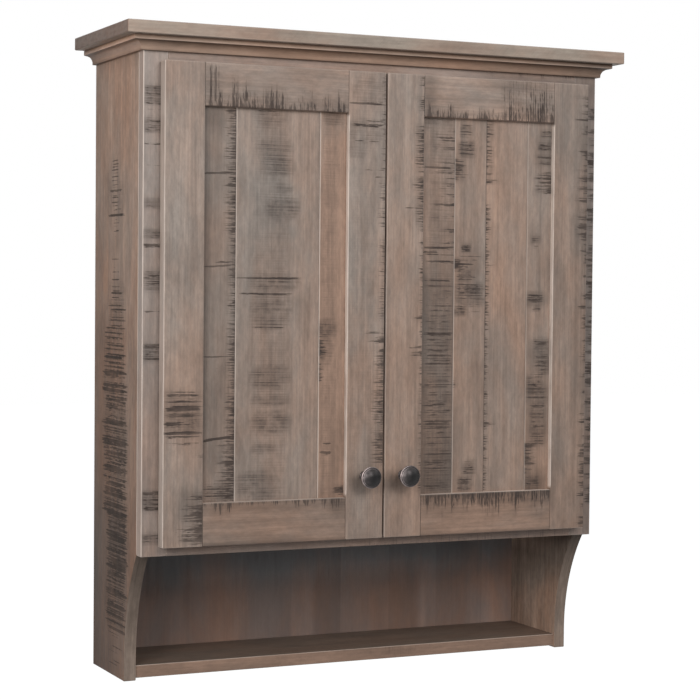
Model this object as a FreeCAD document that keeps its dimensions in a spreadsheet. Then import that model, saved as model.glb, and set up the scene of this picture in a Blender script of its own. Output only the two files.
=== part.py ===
"""Wall-mounted bathroom cabinet with two plank-panel doors, an open shelf below and a moulded crown.

Millimetres. X runs to the right, Y towards the wall and Z up. The wall is the plane Y = 0, and the
origin is the middle of the four wall-screw holes on that plane, halfway up the inside of the case.
"""
import FreeCAD, Part
import Sketcher
import math
import os
import re

os.makedirs("parts", exist_ok=True)

SIZES = {
    # Case
    "case_width": 762.0,
    "case_depth": 225.4,
    "inside_height": 709.6,
    "board": 19.05,
    "dado_depth": 6.35,
    "back_thickness": 6.35,
    "back_rabbet": 9.5,
    # Side panels below the face frame
    "side_drop": 195.3,
    "lower_setback": 74.5,
    "scoop_height": 165.0,
    "open_shelf_rise": 3.2,
    "open_shelf_setback": 3.0,
    # Hanging rails and wall screws
    "hanging_rail": 63.5,
    "stud_spacing": 406.4,
    "wall_hole_radius": 2.6,
    # Adjustable shelves and their pins
    "lower_shelf_height": 232.0,
    "upper_shelf_height": 462.0,
    "shelf_end_gap": 1.5,
    "shelf_front_gap": 3.0,
    "shelf_back_gap": 1.0,
    "shelf_pin_radius": 2.5,
    "shelf_pin_inset": 38.0,
    "shelf_pin_pitch": 32.0,
    "shelf_pin_embed": 9.0,
    "shelf_pin_ledge": 10.0,
    "shelf_pin_ledge_width": 9.0,
    "shelf_pin_ledge_thickness": 3.0,
    "shelf_pin_fit": 0.05,
    # Face frame
    "frame_thickness": 19.05,
    "frame_stile": 38.1,
    "frame_top_rail": 47.6,
    "frame_bottom_rail": 27.0,
    "dowel_radius": 4.0,
    "dowel_length": 44.0,
    "dowel_spacing": 22.0,
    "dowel_fit": 0.05,
    # Crown
    "cap_thickness": 18.5,
    "cap_side_overhang": 34.4,
    "cap_front_overhang": 31.8,
    "moulding_height": 21.0,
    "moulding_out": 19.5,
    "moulding_lip_out": 5.8,
    "moulding_lip_height": 2.2,
    "moulding_fillet": 7.0,
    "moulding_quirk_out": 4.0,
    "moulding_quirk_height": 1.0,
    "cap_screw_radius": 1.75,
    "cap_screw_bite": 12.0,
    "cap_screw_head_radius": 4.0,
    "cap_screw_head": 2.5,
    "cap_screw_spacing": 250.0,
    "cap_screw_edge": 50.0,
    # Doors
    "door_thickness": 19.05,
    "door_overlay": 12.7,
    "door_standoff": 2.5,
    "door_gap": 3.0,
    "door_stile": 62.0,
    "door_rail": 63.5,
    "groove_depth": 9.5,
    "panel_thickness": 6.35,
    "panel_recess": 8.0,
    "panel_float": 0.8,
    "left_first_plank": 52.0,
    "left_second_plank": 134.5,
    "right_first_plank": 43.4,
    "right_second_plank": 73.6,
    "right_third_plank": 55.6,
    "bumper_radius": 4.0,
    "bumper_clearance": 0.1,
    # Knobs
    "knob_height": 95.0,
    "knob_radius": 16.6,
    "knob_foot_radius": 8.5,
    "knob_foot": 2.5,
    "knob_neck_radius": 6.0,
    "knob_neck": 12.0,
    "knob_rim_start": 23.2,
    "knob_rim": 2.6,
    "knob_crown": 6.0,
    "knob_bore": 11.0,
    "knob_screw_radius": 2.0,
    "knob_screw_bite": 9.0,
    "knob_screw_head_radius": 4.0,
    "knob_screw_head": 2.2,
    # Concealed hinges
    "hinge_inset": 89.0,
    "pivot_inset": 7.0,
    "pivot_depth": 8.5,
    "pivot_clearance": 0.05,
    "pin_radius": 1.1,
    "pin_half_length": 9.4,
    "cup_tab": 3.0,
    "cup_radius": 17.5,
    "cup_wall": 0.8,
    "cup_depth": 14.1,
    "cup_fit": 0.05,
    "cup_ear_inner": 5.9,
    "cup_ear_reach": 3.0,
    "cup_plate_thickness": 1.2,
    "cup_plate_start": 14.0,
    "cup_plate_width": 16.0,
    "cup_plate_half_height": 31.0,
    "cup_screw_offset": 24.0,
    "arm_thickness": 2.0,
    "arm_half_height": 5.4,
    "arm_eye_radius": 2.0,
    "arm_reach": 12.8,
    "arm_frame_gap": 1.5,
    "arm_screw_back": 9.5,
    "hinge_screw_radius": 1.75,
    "hinge_screw_length": 12.0,
    "hinge_screw_head_radius": 3.4,
    "hinge_screw_head": 1.8,
    # Screws and pins in their holes
    "hole_fit": 0.03,
    "hole_spare": 0.5,
}

# Levels and planes of the case, as formulas of the sizes
FLOOR = "(-inside_height / 2)"
CEILING = "(inside_height / 2)"
CASE_TOP = "(inside_height / 2 + board)"
FRAME_BOTTOM = "(-inside_height / 2 - frame_bottom_rail)"
SIDE_BOTTOM = f"({FRAME_BOTTOM} - side_drop)"
FRAME_FRONT = "(-case_depth)"
FRAME_BACK = "(frame_thickness - case_depth)"
LOWER_FRONT = "(lower_setback - case_depth)"
BACK_FACE = "(-back_thickness)"
HALF_WIDTH = "(case_width / 2)"
INNER_HALF = "(case_width / 2 - board)"
OPENING_HALF = "(case_width / 2 - frame_stile)"
OPENING_TOP = f"({CASE_TOP} - frame_top_rail)"
OPEN_SHELF_BOTTOM = f"({SIDE_BOTTOM} + open_shelf_rise)"
OPEN_SHELF_FRONT = f"({LOWER_FRONT} + open_shelf_setback)"
SHELF_LEVELS = {
    "lower": f"({FLOOR} + lower_shelf_height)",
    "upper": f"({FLOOR} + upper_shelf_height)",
}
WALL_SCREW_RISE = "((inside_height - hanging_rail) / 2)"
MOULDING_BOTTOM = f"({CASE_TOP} - moulding_height)"

# Planes of the doors
DOOR_EDGE = f"({OPENING_HALF} + door_overlay)"
DOOR_WIDTH = f"({DOOR_EDGE} - door_gap / 2)"
DOOR_BACK = "(-case_depth - door_standoff)"
DOOR_FRONT = f"({DOOR_BACK} - door_thickness)"
DOOR_BOTTOM = f"({FLOOR} - door_overlay)"
DOOR_TOP = f"({OPENING_TOP} + door_overlay)"
DOOR_HEIGHT = f"({DOOR_TOP} - {DOOR_BOTTOM})"
KNOB_LEVEL = f"({DOOR_BOTTOM} + knob_height)"
HINGE_LEVELS = (f"({DOOR_BOTTOM} + hinge_inset)", f"({DOOR_TOP} - hinge_inset)")

SIDES = ("left", "right")
AXES = {
    "+x": FreeCAD.Rotation(FreeCAD.Vector(0, 1, 0), 90),
    "-x": FreeCAD.Rotation(FreeCAD.Vector(0, 1, 0), -90),
    "+y": FreeCAD.Rotation(FreeCAD.Vector(1, 0, 0), -90),
    "-y": FreeCAD.Rotation(FreeCAD.Vector(1, 0, 0), 90),
    "+z": FreeCAD.Rotation(),
}

doc = FreeCAD.newDocument("BathroomCabinet")
sheet = doc.addObject("Spreadsheet::Sheet", "Sizes")
for row, (alias, number) in enumerate(SIZES.items(), start=1):
    sheet.set(f"A{row}", alias)
    sheet.set(f"B{row}", str(number))
    sheet.setAlias(f"B{row}", alias)
doc.recompute()

ALIAS = re.compile(r"\b(" + "|".join(SIZES) + r")\b")
nodes = []


# Formulas and placing

def formula(expression):
    """Return an expression with its size names pointing at the sheet."""
    return ALIAS.sub(r"Sizes.\1", str(expression))


def value(expression):
    """Return the present value of an expression of sizes."""
    return float(sheet.evalExpression(formula(expression)))


def bind(item, path, expression):
    """Tie a property of a document object to an expression of sizes."""
    item.setExpression(path, formula(expression))


def place(item, x, y, z, rotation=AXES["+z"]):
    """Put an object at a point given by expressions, turned by a fixed rotation."""
    item.Placement = FreeCAD.Placement(FreeCAD.Vector(), rotation)
    for axis, expression in zip("xyz", (x, y, z)):
        bind(item, f"Placement.Base.{axis}", expression)
    return item


def node(item, label):
    """Name a finished piece and keep it for writing."""
    item.Label = label
    nodes.append(item)
    return item


# Solids

def block(x, y, z, length, width, height, rotation=AXES["+z"]):
    """Make a box from its low corner and its three sizes."""
    item = doc.addObject("Part::Box", "Block")
    bind(item, "Length", length)
    bind(item, "Width", width)
    bind(item, "Height", height)
    return place(item, x, y, z, rotation)


def rod(axis, x, y, z, radius, length):
    """Make a cylinder that starts at a point and runs along an axis."""
    item = doc.addObject("Part::Cylinder", "Rod")
    bind(item, "Radius", radius)
    bind(item, "Height", length)
    return place(item, x, y, z, AXES[axis])


def join(pieces):
    """Fuse overlapping solids into one."""
    item = doc.addObject("Part::MultiFuse", "Join")
    item.Shapes = pieces
    return item


def shared(first, second):
    """Keep the space that two solids share."""
    item = doc.addObject("Part::Common", "Shared")
    item.Base = first
    item.Tool = second
    return item


def carve(base, tools):
    """Cut one or more solids out of a base."""
    item = doc.addObject("Part::Cut", "Carve")
    item.Base = base
    item.Tool = tools[0] if len(tools) == 1 else join(tools)
    return item


def group(pieces):
    """Gather separate like solids in one object."""
    item = doc.addObject("Part::Compound", "Group")
    item.Links = pieces
    return item


def mirrored(source):
    """Mirror a solid across the plane X = 0."""
    item = doc.addObject("Part::Mirroring", "Mirror")
    item.Source = source
    item.Normal = FreeCAD.Vector(1, 0, 0)
    return item


def copy_at(source, x, y, z):
    """Repeat a solid at another place."""
    item = doc.addObject("App::Link", "Copy")
    item.LinkedObject = source
    item.LinkTransform = True
    return place(item, x, y, z)


def hole_through(axis, x, y, z, radius, length):
    """Make a rod that runs past both faces of what it goes through by its own radius."""
    step = {"+x": (-1, 0), "-x": (1, 0), "+y": (0, -1), "-y": (0, 1)}[axis]
    start_x = f"{x} + {step[0]} * ({radius})"
    start_y = f"{y} + {step[1]} * ({radius})"
    return rod(axis, start_x, start_y, z, radius, f"{length} + 2 * ({radius})")


# Sketched solids

def new_sketch(body, plane):
    """Start a sketch on one of a body's own origin planes."""
    sketch = body.newObject("Sketcher::SketchObject", "Sketch")
    support = [item for item in body.Origin.OriginFeatures if item.Role == plane]
    sketch.AttachmentSupport = [(support[0], "")]
    sketch.MapMode = "FlatFace"
    return sketch


def pin_corner(sketch, edge, end, name, place_of_corner):
    """Hold one end of a sketch edge at a place given by two expressions."""
    for axis, origin_axis, expression in zip("XY", (-2, -1), place_of_corner):
        if expression == "0":
            sketch.addConstraint(Sketcher.Constraint("PointOnObject", edge, end, origin_axis))
            continue
        rule = Sketcher.Constraint(f"Distance{axis}", -1, 1, edge, end, value(expression))
        index = sketch.addConstraint(rule)
        sketch.renameConstraint(index, f"{name}_{axis}")
        bind(sketch, f"Constraints.{name}_{axis}", expression)


def arc_edge(start, end, radius, turn):
    """Return an arc between two points and which of its ends lies at the start.

    A turn of 1 runs anticlockwise from start to end, and -1 clockwise.
    """
    chord = end - start
    rise = math.sqrt(max(radius ** 2 - (chord.Length / 2) ** 2, 0))
    normal = FreeCAD.Vector(-chord.y, chord.x, 0).normalize()
    centre = (start + end) * 0.5 + normal * (turn * rise)
    first, last = (start, end) if turn > 0 else (end, start)
    angles = [math.atan2(point.y - centre.y, point.x - centre.x) for point in (first, last)]
    circle = Part.Circle(centre, FreeCAD.Vector(0, 0, 1), radius)
    return Part.ArcOfCircle(circle, *angles), (1, 2) if turn > 0 else (2, 1)


def outline(sketch, corners, arcs):
    """Draw a closed chain through the corners; arcs gives edge number, radius and turn of each arc."""
    points = [FreeCAD.Vector(value(x), value(y), 0) for x, y in corners]
    ends = []
    for index, start in enumerate(points):
        finish = points[(index + 1) % len(points)]
        if index in arcs:
            radius, turn = arcs[index]
            edge, edge_ends = arc_edge(start, finish, value(radius), turn)
        else:
            edge, edge_ends = Part.LineSegment(start, finish), (1, 2)
        sketch.addGeometry(edge, False)
        ends.append(edge_ends)
    for index, edge_ends in enumerate(ends):
        following = (index + 1) % len(ends)
        join_rule = Sketcher.Constraint("Coincident", index, edge_ends[1], following, ends[following][0])
        sketch.addConstraint(join_rule)
    for index, corner in enumerate(corners):
        pin_corner(sketch, index, ends[index][0], f"corner_{index}", corner)
    for index, (radius, _) in arcs.items():
        rule = sketch.addConstraint(Sketcher.Constraint("Radius", index, value(radius)))
        sketch.renameConstraint(rule, f"arc_{index}")
        bind(sketch, f"Constraints.arc_{index}", radius)


def padded(plane, corners, arcs, length):
    """Pad a closed outline from an origin plane along that plane's normal."""
    body = doc.addObject("PartDesign::Body", "Body")
    sketch = new_sketch(body, plane)
    outline(sketch, corners, arcs)
    pad = body.newObject("PartDesign::Pad", "Pad")
    pad.Profile = sketch
    bind(pad, "Length", length)
    return body


def revolved(corners, arcs):
    """Revolve a closed outline of radius and height about the Z axis."""
    body = doc.addObject("PartDesign::Body", "Body")
    sketch = new_sketch(body, "XZ_Plane")
    outline(sketch, corners, arcs)
    turned = body.newObject("PartDesign::Revolution", "Revolution")
    turned.Profile = sketch
    turned.ReferenceAxis = (sketch, ["V_Axis"])
    turned.Angle = 360
    return body


def screw(axis, x, y, z, radius, length, head_radius, head):
    """Make a pan-head screw whose head seats at a point and whose shank runs along an axis."""
    back = {"+x": "-x", "-x": "+x", "+y": "-y", "-y": "+y"}
    shank = rod(axis, x, y, z, radius, length)
    if axis == "+z":
        cap = rod("+z", x, y, f"{z} - {head}", head_radius, head)
    else:
        cap = rod(back[axis], x, y, z, head_radius, head)
    return join([shank, cap])


# Case

def inner_x(side, reach):
    """Return the X of a point that lies a reach towards the middle from a side panel's inner face."""
    return f"-{INNER_HALF} + {reach}" if side == "left" else f"{INNER_HALF} - ({reach})"


def low_x(side, near, width):
    """Return the low X of a piece that starts at a distance from the middle and runs outwards."""
    return f"-({near}) - ({width})" if side == "left" else f"{near}"


def shelf_pin_places():
    """Return the Y of the front and the back column of shelf pins."""
    return (f"({FRAME_BACK} + shelf_pin_inset)", f"({BACK_FACE} - shelf_pin_inset)")


def side_panel(side):
    """Make a side panel with its scooped lower front, dados, back rabbet and shelf-pin holes."""
    scoop_depth = "(lower_setback - frame_thickness)"
    scoop_radius = f"({scoop_depth} * {scoop_depth} + scoop_height * scoop_height) / (2 * {scoop_depth})"
    corners = [
        ("0", SIDE_BOTTOM),
        ("0", CASE_TOP),
        (FRAME_BACK, CASE_TOP),
        (FRAME_BACK, FRAME_BOTTOM),
        (LOWER_FRONT, f"{FRAME_BOTTOM} - scoop_height"),
        (LOWER_FRONT, SIDE_BOTTOM),
    ]
    blank = padded("YZ_Plane", corners, {3: (scoop_radius, -1)}, "board")
    place(blank, low_x(side, INNER_HALF, "board"), "0", "0")
    depth = f"({BACK_FACE} - {FRAME_BACK})"
    shelf_depth = f"({BACK_FACE} - {OPEN_SHELF_FRONT})"
    dado_x = low_x(side, INNER_HALF, "dado_depth")
    rabbet_x = low_x(side, INNER_HALF, "back_rabbet")
    cuts = [
        block(dado_x, FRAME_BACK, CEILING, "dado_depth", depth, "board"),
        block(dado_x, FRAME_BACK, f"{FLOOR} - board", "dado_depth", depth, "board"),
        block(dado_x, OPEN_SHELF_FRONT, OPEN_SHELF_BOTTOM, "dado_depth", shelf_depth, "board"),
        block(rabbet_x, BACK_FACE, SIDE_BOTTOM, "back_rabbet", "back_thickness",
              f"{CASE_TOP} - {SIDE_BOTTOM}"),
    ]
    axis = "-x" if side == "left" else "+x"
    for level in SHELF_LEVELS.values():
        for column in shelf_pin_places():
            for step in (-1, 0, 1):
                height = f"{level} - shelf_pin_radius + {step} * shelf_pin_pitch"
                cuts.append(rod(axis, inner_x(side, 0), column, height,
                                "shelf_pin_radius + shelf_pin_fit", "shelf_pin_embed + hole_spare"))
    return node(carve(blank, cuts), f"{side}_side_panel")


def let_in_board(front, bottom, tools):
    """Make a board whose ends sit in the side panels' dados."""
    length = f"2 * ({INNER_HALF} + dado_depth)"
    board = block(f"-({INNER_HALF} + dado_depth)", front, bottom, length, f"{BACK_FACE} - {front}", "board")
    return carve(board, tools) if tools else board


def wall_screw_holes(rise, front, depth):
    """Make the pair of wall-screw holes at one height, through a depth that starts at a plane."""
    return [hole_through("+y", x, front, rise, "wall_hole_radius", depth)
            for x in ("-stud_spacing / 2", "stud_spacing / 2")]


def case_boards():
    """Make the top panel, floor, open shelf, back panel and hanging rails."""
    tops = [rod("+z", x, y, CEILING, "cap_screw_radius + hole_fit", "board") for x, y in cap_screw_places()]
    node(let_in_board(FRAME_BACK, CEILING, tops), "cabinet_top_panel")
    node(let_in_board(FRAME_BACK, f"({FLOOR} - board)", []), "cabinet_floor")
    node(let_in_board(OPEN_SHELF_FRONT, OPEN_SHELF_BOTTOM, []), "open_shelf")
    back_half = f"({INNER_HALF} + back_rabbet)"
    panel = block(f"-{back_half}", BACK_FACE, SIDE_BOTTOM, f"2 * {back_half}", "back_thickness",
                  f"{CASE_TOP} - {SIDE_BOTTOM}")
    holes = []
    for name, bottom, rise in (
        ("upper", f"({CEILING} - hanging_rail)", WALL_SCREW_RISE),
        ("lower", FLOOR, f"-{WALL_SCREW_RISE}"),
    ):
        front = f"({BACK_FACE} - board)"
        rail = block(f"-{INNER_HALF}", front, bottom, f"2 * {INNER_HALF}", "board", "hanging_rail")
        node(carve(rail, wall_screw_holes(rise, front, "board")), f"{name}_hanging_rail")
        holes += wall_screw_holes(rise, BACK_FACE, "back_thickness")
    node(carve(panel, holes), "back_panel")


def adjustable_shelves():
    """Make the two loose shelves and the pins that they rest on."""
    half = f"({INNER_HALF} - shelf_end_gap)"
    front = f"({FRAME_BACK} + shelf_front_gap)"
    pins = []
    for name, level in SHELF_LEVELS.items():
        depth = f"{BACK_FACE} - shelf_back_gap - {front}"
        node(block(f"-{half}", front, level, f"2 * {half}", depth, "board"), f"{name}_adjustable_shelf")
        for side in SIDES:
            for column in shelf_pin_places():
                pins.append(shelf_pin(side, column, level))
    node(group(pins), "shelf_pins")


def shelf_pin(side, column, level):
    """Make a shelf pin: a round peg in the side panel with a flat ledge under the shelf."""
    axis = "-x" if side == "left" else "+x"
    peg_root = "shelf_pin_radius"
    peg = rod(axis, inner_x(side, peg_root), column, f"{level} - shelf_pin_radius", "shelf_pin_radius",
              f"shelf_pin_embed + {peg_root}")
    near = f"{INNER_HALF} - shelf_pin_ledge"
    ledge = block(low_x(side, near, "shelf_pin_ledge"), f"{column} - shelf_pin_ledge_width / 2",
                  f"{level} - shelf_pin_ledge_thickness", "shelf_pin_ledge", "shelf_pin_ledge_width",
                  "shelf_pin_ledge_thickness")
    return join([peg, ledge])


# Face frame

def dowel_levels():
    """Return the heights of the dowels: two in the top rail's ends and one in the bottom rail's."""
    top_middle = f"({CASE_TOP} - frame_top_rail / 2)"
    return (f"{top_middle} - dowel_spacing / 2", f"{top_middle} + dowel_spacing / 2",
            f"{FRAME_BOTTOM} + frame_bottom_rail / 2")


def dowel(side, level, extra):
    """Make a dowel, or the hole for it with some extra radius, across a stile's inner edge."""
    start = low_x(side, f"({OPENING_HALF} - dowel_length / 2)", "dowel_length")
    middle = f"{FRAME_FRONT} + frame_thickness / 2"
    return rod("+x", start, middle, level, f"dowel_radius + {extra}", "dowel_length")


def face_frame():
    """Make the two stiles, the two rails and the dowels between them."""
    height = f"{CASE_TOP} - {FRAME_BOTTOM}"
    for side in SIDES:
        stile = block(low_x(side, OPENING_HALF, "frame_stile"), FRAME_FRONT, FRAME_BOTTOM, "frame_stile",
                      "frame_thickness", height)
        holes = [dowel(side, level, "dowel_fit") for level in dowel_levels()]
        holes += [arm_screw_hole(side, level) for level in HINGE_LEVELS]
        node(carve(stile, holes), f"face_frame_{side}_stile")
    top_dowels = dowel_levels()[:2]
    bottom_dowels = dowel_levels()[2:]
    for name, bottom, rail, levels in (
        ("top", OPENING_TOP, "frame_top_rail", top_dowels),
        ("bottom", FRAME_BOTTOM, "frame_bottom_rail", bottom_dowels),
    ):
        blank = block(f"-{OPENING_HALF}", FRAME_FRONT, bottom, f"2 * {OPENING_HALF}", "frame_thickness", rail)
        holes = [dowel(side, level, "dowel_fit") for side in SIDES for level in levels]
        node(carve(blank, holes), f"face_frame_{name}_rail")
    dowels = [dowel(side, level, "0") for side in SIDES for level in dowel_levels()]
    node(group(dowels), "face_frame_dowels")


# Crown

def cap_screw_places():
    """Return the X and Y of the screws that hold the cap."""
    rows = (f"{FRAME_BACK} + cap_screw_edge", f"{BACK_FACE} - cap_screw_edge")
    return [(f"{step} * cap_screw_spacing", row) for step in (-1, 0, 1) for row in rows]


def moulding_outline(sign, face):
    """Return the moulding's corners and cove arc, running outwards from a face along a sign."""
    cove_top = "(moulding_height - moulding_fillet - moulding_quirk_height)"
    cove_out = "(moulding_out - moulding_quirk_out)"
    steps = [
        ("0", "0"),
        ("moulding_lip_out", "0"),
        ("moulding_lip_out", "moulding_lip_height"),
        (cove_out, cove_top),
        ("moulding_out", "(moulding_height - moulding_fillet)"),
        ("moulding_out", "moulding_height"),
        ("0", "moulding_height"),
    ]
    run = f"({cove_out} - moulding_lip_out)"
    rise = f"({cove_top} - moulding_lip_height)"
    radius = f"sqrt(({run} * {run} + {rise} * {rise}) / 2)"
    corners = [(f"{face} + {sign} * ({out})", f"{MOULDING_BOTTOM} + {up}") for out, up in steps]
    return corners, {2: (radius, -sign)}


def mitre_cut(side, angle):
    """Make the block that trims a moulding along the mitre at a front corner of the case."""
    corner_x = f"-{HALF_WIDTH}" if side == "left" else HALF_WIDTH
    reach = "2 * moulding_out"
    turn = FreeCAD.Rotation(FreeCAD.Vector(0, 0, 1), angle)
    return block(corner_x, FRAME_FRONT, MOULDING_BOTTOM, reach, reach, "moulding_height", turn)


def crown():
    """Make the mitred mouldings, the cap and the screws that hold the cap."""
    corners, arcs = moulding_outline(-1, FRAME_FRONT)
    front = padded("YZ_Plane", corners, arcs, "case_width + 2 * moulding_out")
    place(front, f"-{HALF_WIDTH} - moulding_out", "0", "0")
    trims = [mitre_cut("left", 135), mitre_cut("right", -45)]
    node(carve(front, trims), "crown_moulding_front")
    for side, sign in zip(SIDES, (-1, 1)):
        face = f"{sign} * {HALF_WIDTH}"
        corners, arcs = moulding_outline(sign, face)
        run = padded("XZ_Plane", corners, arcs, "case_depth + moulding_out")
        node(carve(run, [mitre_cut(side, -135)]), f"crown_moulding_{side}")
    half = f"({HALF_WIDTH} + cap_side_overhang)"
    depth = "(case_depth + cap_front_overhang)"
    cap = block(f"-{half}", f"-{depth}", CASE_TOP, f"2 * {half}", depth, "cap_thickness")
    pilots = [rod("+z", x, y, CASE_TOP, "cap_screw_radius + hole_fit", "cap_screw_bite + hole_spare")
              for x, y in cap_screw_places()]
    node(carve(cap, pilots), "crown_cap")
    screws = [screw("+z", x, y, CEILING, "cap_screw_radius", "board + cap_screw_bite",
                    "cap_screw_head_radius", "cap_screw_head") for x, y in cap_screw_places()]
    node(group(screws), "cap_screws")


# Doors

def door_x(side, inward, width):
    """Return the low X of a piece of a door, from its distance inward from the hinge edge."""
    if side == "left":
        return f"-{DOOR_EDGE} + {inward}"
    return f"{DOOR_EDGE} - ({inward}) - ({width})"


def door_block(side, inward, back, bottom, width, thickness, height):
    """Make a block of a door, placed from the hinge edge and the door's front face."""
    return block(door_x(side, inward, width), f"{DOOR_FRONT} + {back}", bottom, width, thickness, height)


def door_stiles(side):
    """Make the hinge stile with its cup bores and the lock stile with its knob hole."""
    groove_y = "panel_recess"
    hinge = door_block(side, "0", "0", DOOR_BOTTOM, "door_stile", "door_thickness", DOOR_HEIGHT)
    cuts = [door_block(side, "door_stile - groove_depth", groove_y, DOOR_BOTTOM, "groove_depth",
                       "panel_thickness", DOOR_HEIGHT)]
    for level in HINGE_LEVELS:
        cuts += cup_bores(side, level)
    node(carve(hinge, cuts), f"{side}_door_hinge_stile")
    inner = f"({DOOR_WIDTH} - door_stile)"
    lock = door_block(side, inner, "0", DOOR_BOTTOM, "door_stile", "door_thickness", DOOR_HEIGHT)
    cuts = [
        door_block(side, inner, groove_y, DOOR_BOTTOM, "groove_depth", "panel_thickness", DOOR_HEIGHT),
        hole_through("+y", knob_x(side), DOOR_FRONT, KNOB_LEVEL, "knob_screw_radius + hole_fit",
                     "door_thickness"),
    ]
    node(carve(lock, cuts), f"{side}_door_lock_stile")


def door_rails(side):
    """Make the top and bottom rails, grooved for the planks and tenoned into the stiles."""
    length = f"({DOOR_WIDTH} - 2 * door_stile)"
    tenon_length = f"({length} + 2 * groove_depth)"
    for name, bottom, groove_bottom in (
        ("top", f"({DOOR_TOP} - door_rail)", f"({DOOR_TOP} - door_rail)"),
        ("bottom", DOOR_BOTTOM, f"({DOOR_BOTTOM} + door_rail - groove_depth)"),
    ):
        rail = door_block(side, "door_stile", "0", bottom, length, "door_thickness", "door_rail")
        tenon = door_block(side, "door_stile - groove_depth", "panel_recess", bottom, tenon_length,
                           "panel_thickness", "door_rail")
        groove = door_block(side, "door_stile - groove_depth", "panel_recess", groove_bottom, tenon_length,
                            "panel_thickness", "groove_depth")
        node(carve(join([rail, tenon]), [groove]), f"{side}_door_{name}_rail")


def door_planks(side, widths):
    """Make the planks side by side from the hinge stile's groove to the lock stile's."""
    first = "(door_stile - groove_depth + panel_float)"
    last = f"({DOOR_WIDTH} - door_stile + groove_depth - panel_float)"
    joints = ["door_stile"]
    for width in widths:
        joints.append(f"{joints[-1]} + {width}")
    edges = [first] + [f"({joint})" for joint in joints[1:]] + [last]
    bottom = f"({DOOR_BOTTOM} + door_rail - groove_depth + panel_float)"
    top = f"({DOOR_TOP} - door_rail + groove_depth - panel_float)"
    for number, (start, end) in enumerate(zip(edges, edges[1:]), start=1):
        plank = door_block(side, start, "panel_recess", bottom, f"({end} - {start})", "panel_thickness",
                           f"{top} - {bottom}")
        node(plank, f"{side}_door_plank_{number}")


def knob_x(side):
    """Return the X of a knob, at the middle of the lock stile."""
    middle = f"({DOOR_WIDTH} - door_stile / 2)"
    return door_x(side, middle, "0")


def knob(side):
    """Make a mushroom knob on a flared foot and the screw that holds it from behind the door."""
    rim_end = "(knob_rim_start + knob_rim)"
    flare = "(knob_radius - knob_neck_radius)"
    flare_rise = "(knob_rim_start - knob_neck)"
    flare_radius = f"sqrt(({flare} * {flare} + {flare_rise} * {flare_rise}) / 2)"
    crown_radius = "(knob_radius * knob_radius + knob_crown * knob_crown) / (2 * knob_crown)"
    bore = "(knob_screw_radius + hole_fit)"
    corners = [
        (bore, "0"),
        ("knob_foot_radius", "0"),
        ("knob_foot_radius", "knob_foot"),
        ("knob_neck_radius", "knob_neck"),
        ("knob_radius", "knob_rim_start"),
        ("knob_radius", rim_end),
        ("0", f"{rim_end} + knob_crown"),
        ("0", "knob_bore"),
        (bore, "knob_bore"),
    ]
    body = revolved(corners, {3: (flare_radius, -1), 5: (crown_radius, 1)})
    node(place(body, knob_x(side), DOOR_FRONT, KNOB_LEVEL, AXES["-y"]), f"{side}_door_knob")
    held = screw("-y", knob_x(side), DOOR_BACK, KNOB_LEVEL, "knob_screw_radius",
                 "door_thickness + knob_screw_bite", "knob_screw_head_radius", "knob_screw_head")
    node(held, f"{side}_door_knob_screw")


def bumpers(side):
    """Make the two soft bumpers between the lock stile and the face frame's rails."""
    thickness = "door_standoff - bumper_clearance"
    levels = (f"{DOOR_BOTTOM} + door_overlay / 2", f"{DOOR_TOP} - door_overlay / 2")
    discs = [rod("+y", knob_x(side), DOOR_BACK, level, "bumper_radius", thickness) for level in levels]
    node(group(discs), f"{side}_door_bumpers")


# Concealed hinges, drawn once about the pivot of a left-hand hinge

CUP_MIDDLE = "(cup_tab + cup_radius - pivot_inset)"
HINGE_DOOR_BACK = "(door_thickness - pivot_depth)"
HINGE_FRAME_FRONT = f"({HINGE_DOOR_BACK} + door_standoff)"
STILE_EDGE = "(door_overlay - pivot_inset)"
ARM_SCREW_Y = f"({HINGE_FRAME_FRONT} + arm_screw_back)"
PLATE_START = "(cup_plate_start - pivot_inset)"
CUP_SCREW_X = f"({PLATE_START} + cup_plate_width / 2)"
HINGE_SCREW = ("hinge_screw_radius", "hinge_screw_length", "hinge_screw_head_radius", "hinge_screw_head")


def pivot_place(side, level):
    """Return the place of a hinge's pivot on a door."""
    return door_x(side, "pivot_inset", "0"), f"{DOOR_FRONT} + pivot_depth", level


def cup_bores(side, level):
    """Make the cuts for a hinge in the stile: the cup's bore and the two screws' pilot holes."""
    middle = door_x(side, "(cup_tab + cup_radius)", "0")
    bore_floor = f"{DOOR_BACK} - cup_depth - cup_fit"
    bores = [rod("+y", middle, bore_floor, level, "cup_radius", "cup_depth + cup_fit")]
    screw_x = door_x(side, f"({CUP_SCREW_X} + pivot_inset)", "0")
    pilot = "hinge_screw_length - cup_plate_thickness + hole_spare"
    for step in (-1, 1):
        bores.append(rod("-y", screw_x, DOOR_BACK, f"{level} + {step} * cup_screw_offset",
                         "hinge_screw_radius + hole_fit", pilot))
    return bores


def arm_screw_hole(side, level):
    """Make the pilot hole of a hinge arm's screw in a face-frame stile."""
    axis = "-x" if side == "left" else "+x"
    edge = f"-{OPENING_HALF}" if side == "left" else OPENING_HALF
    depth = "hinge_screw_length - arm_thickness + hole_spare"
    y = f"{FRAME_FRONT} + arm_screw_back"
    return rod(axis, edge, y, level, "hinge_screw_radius + hole_fit", depth)


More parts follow.
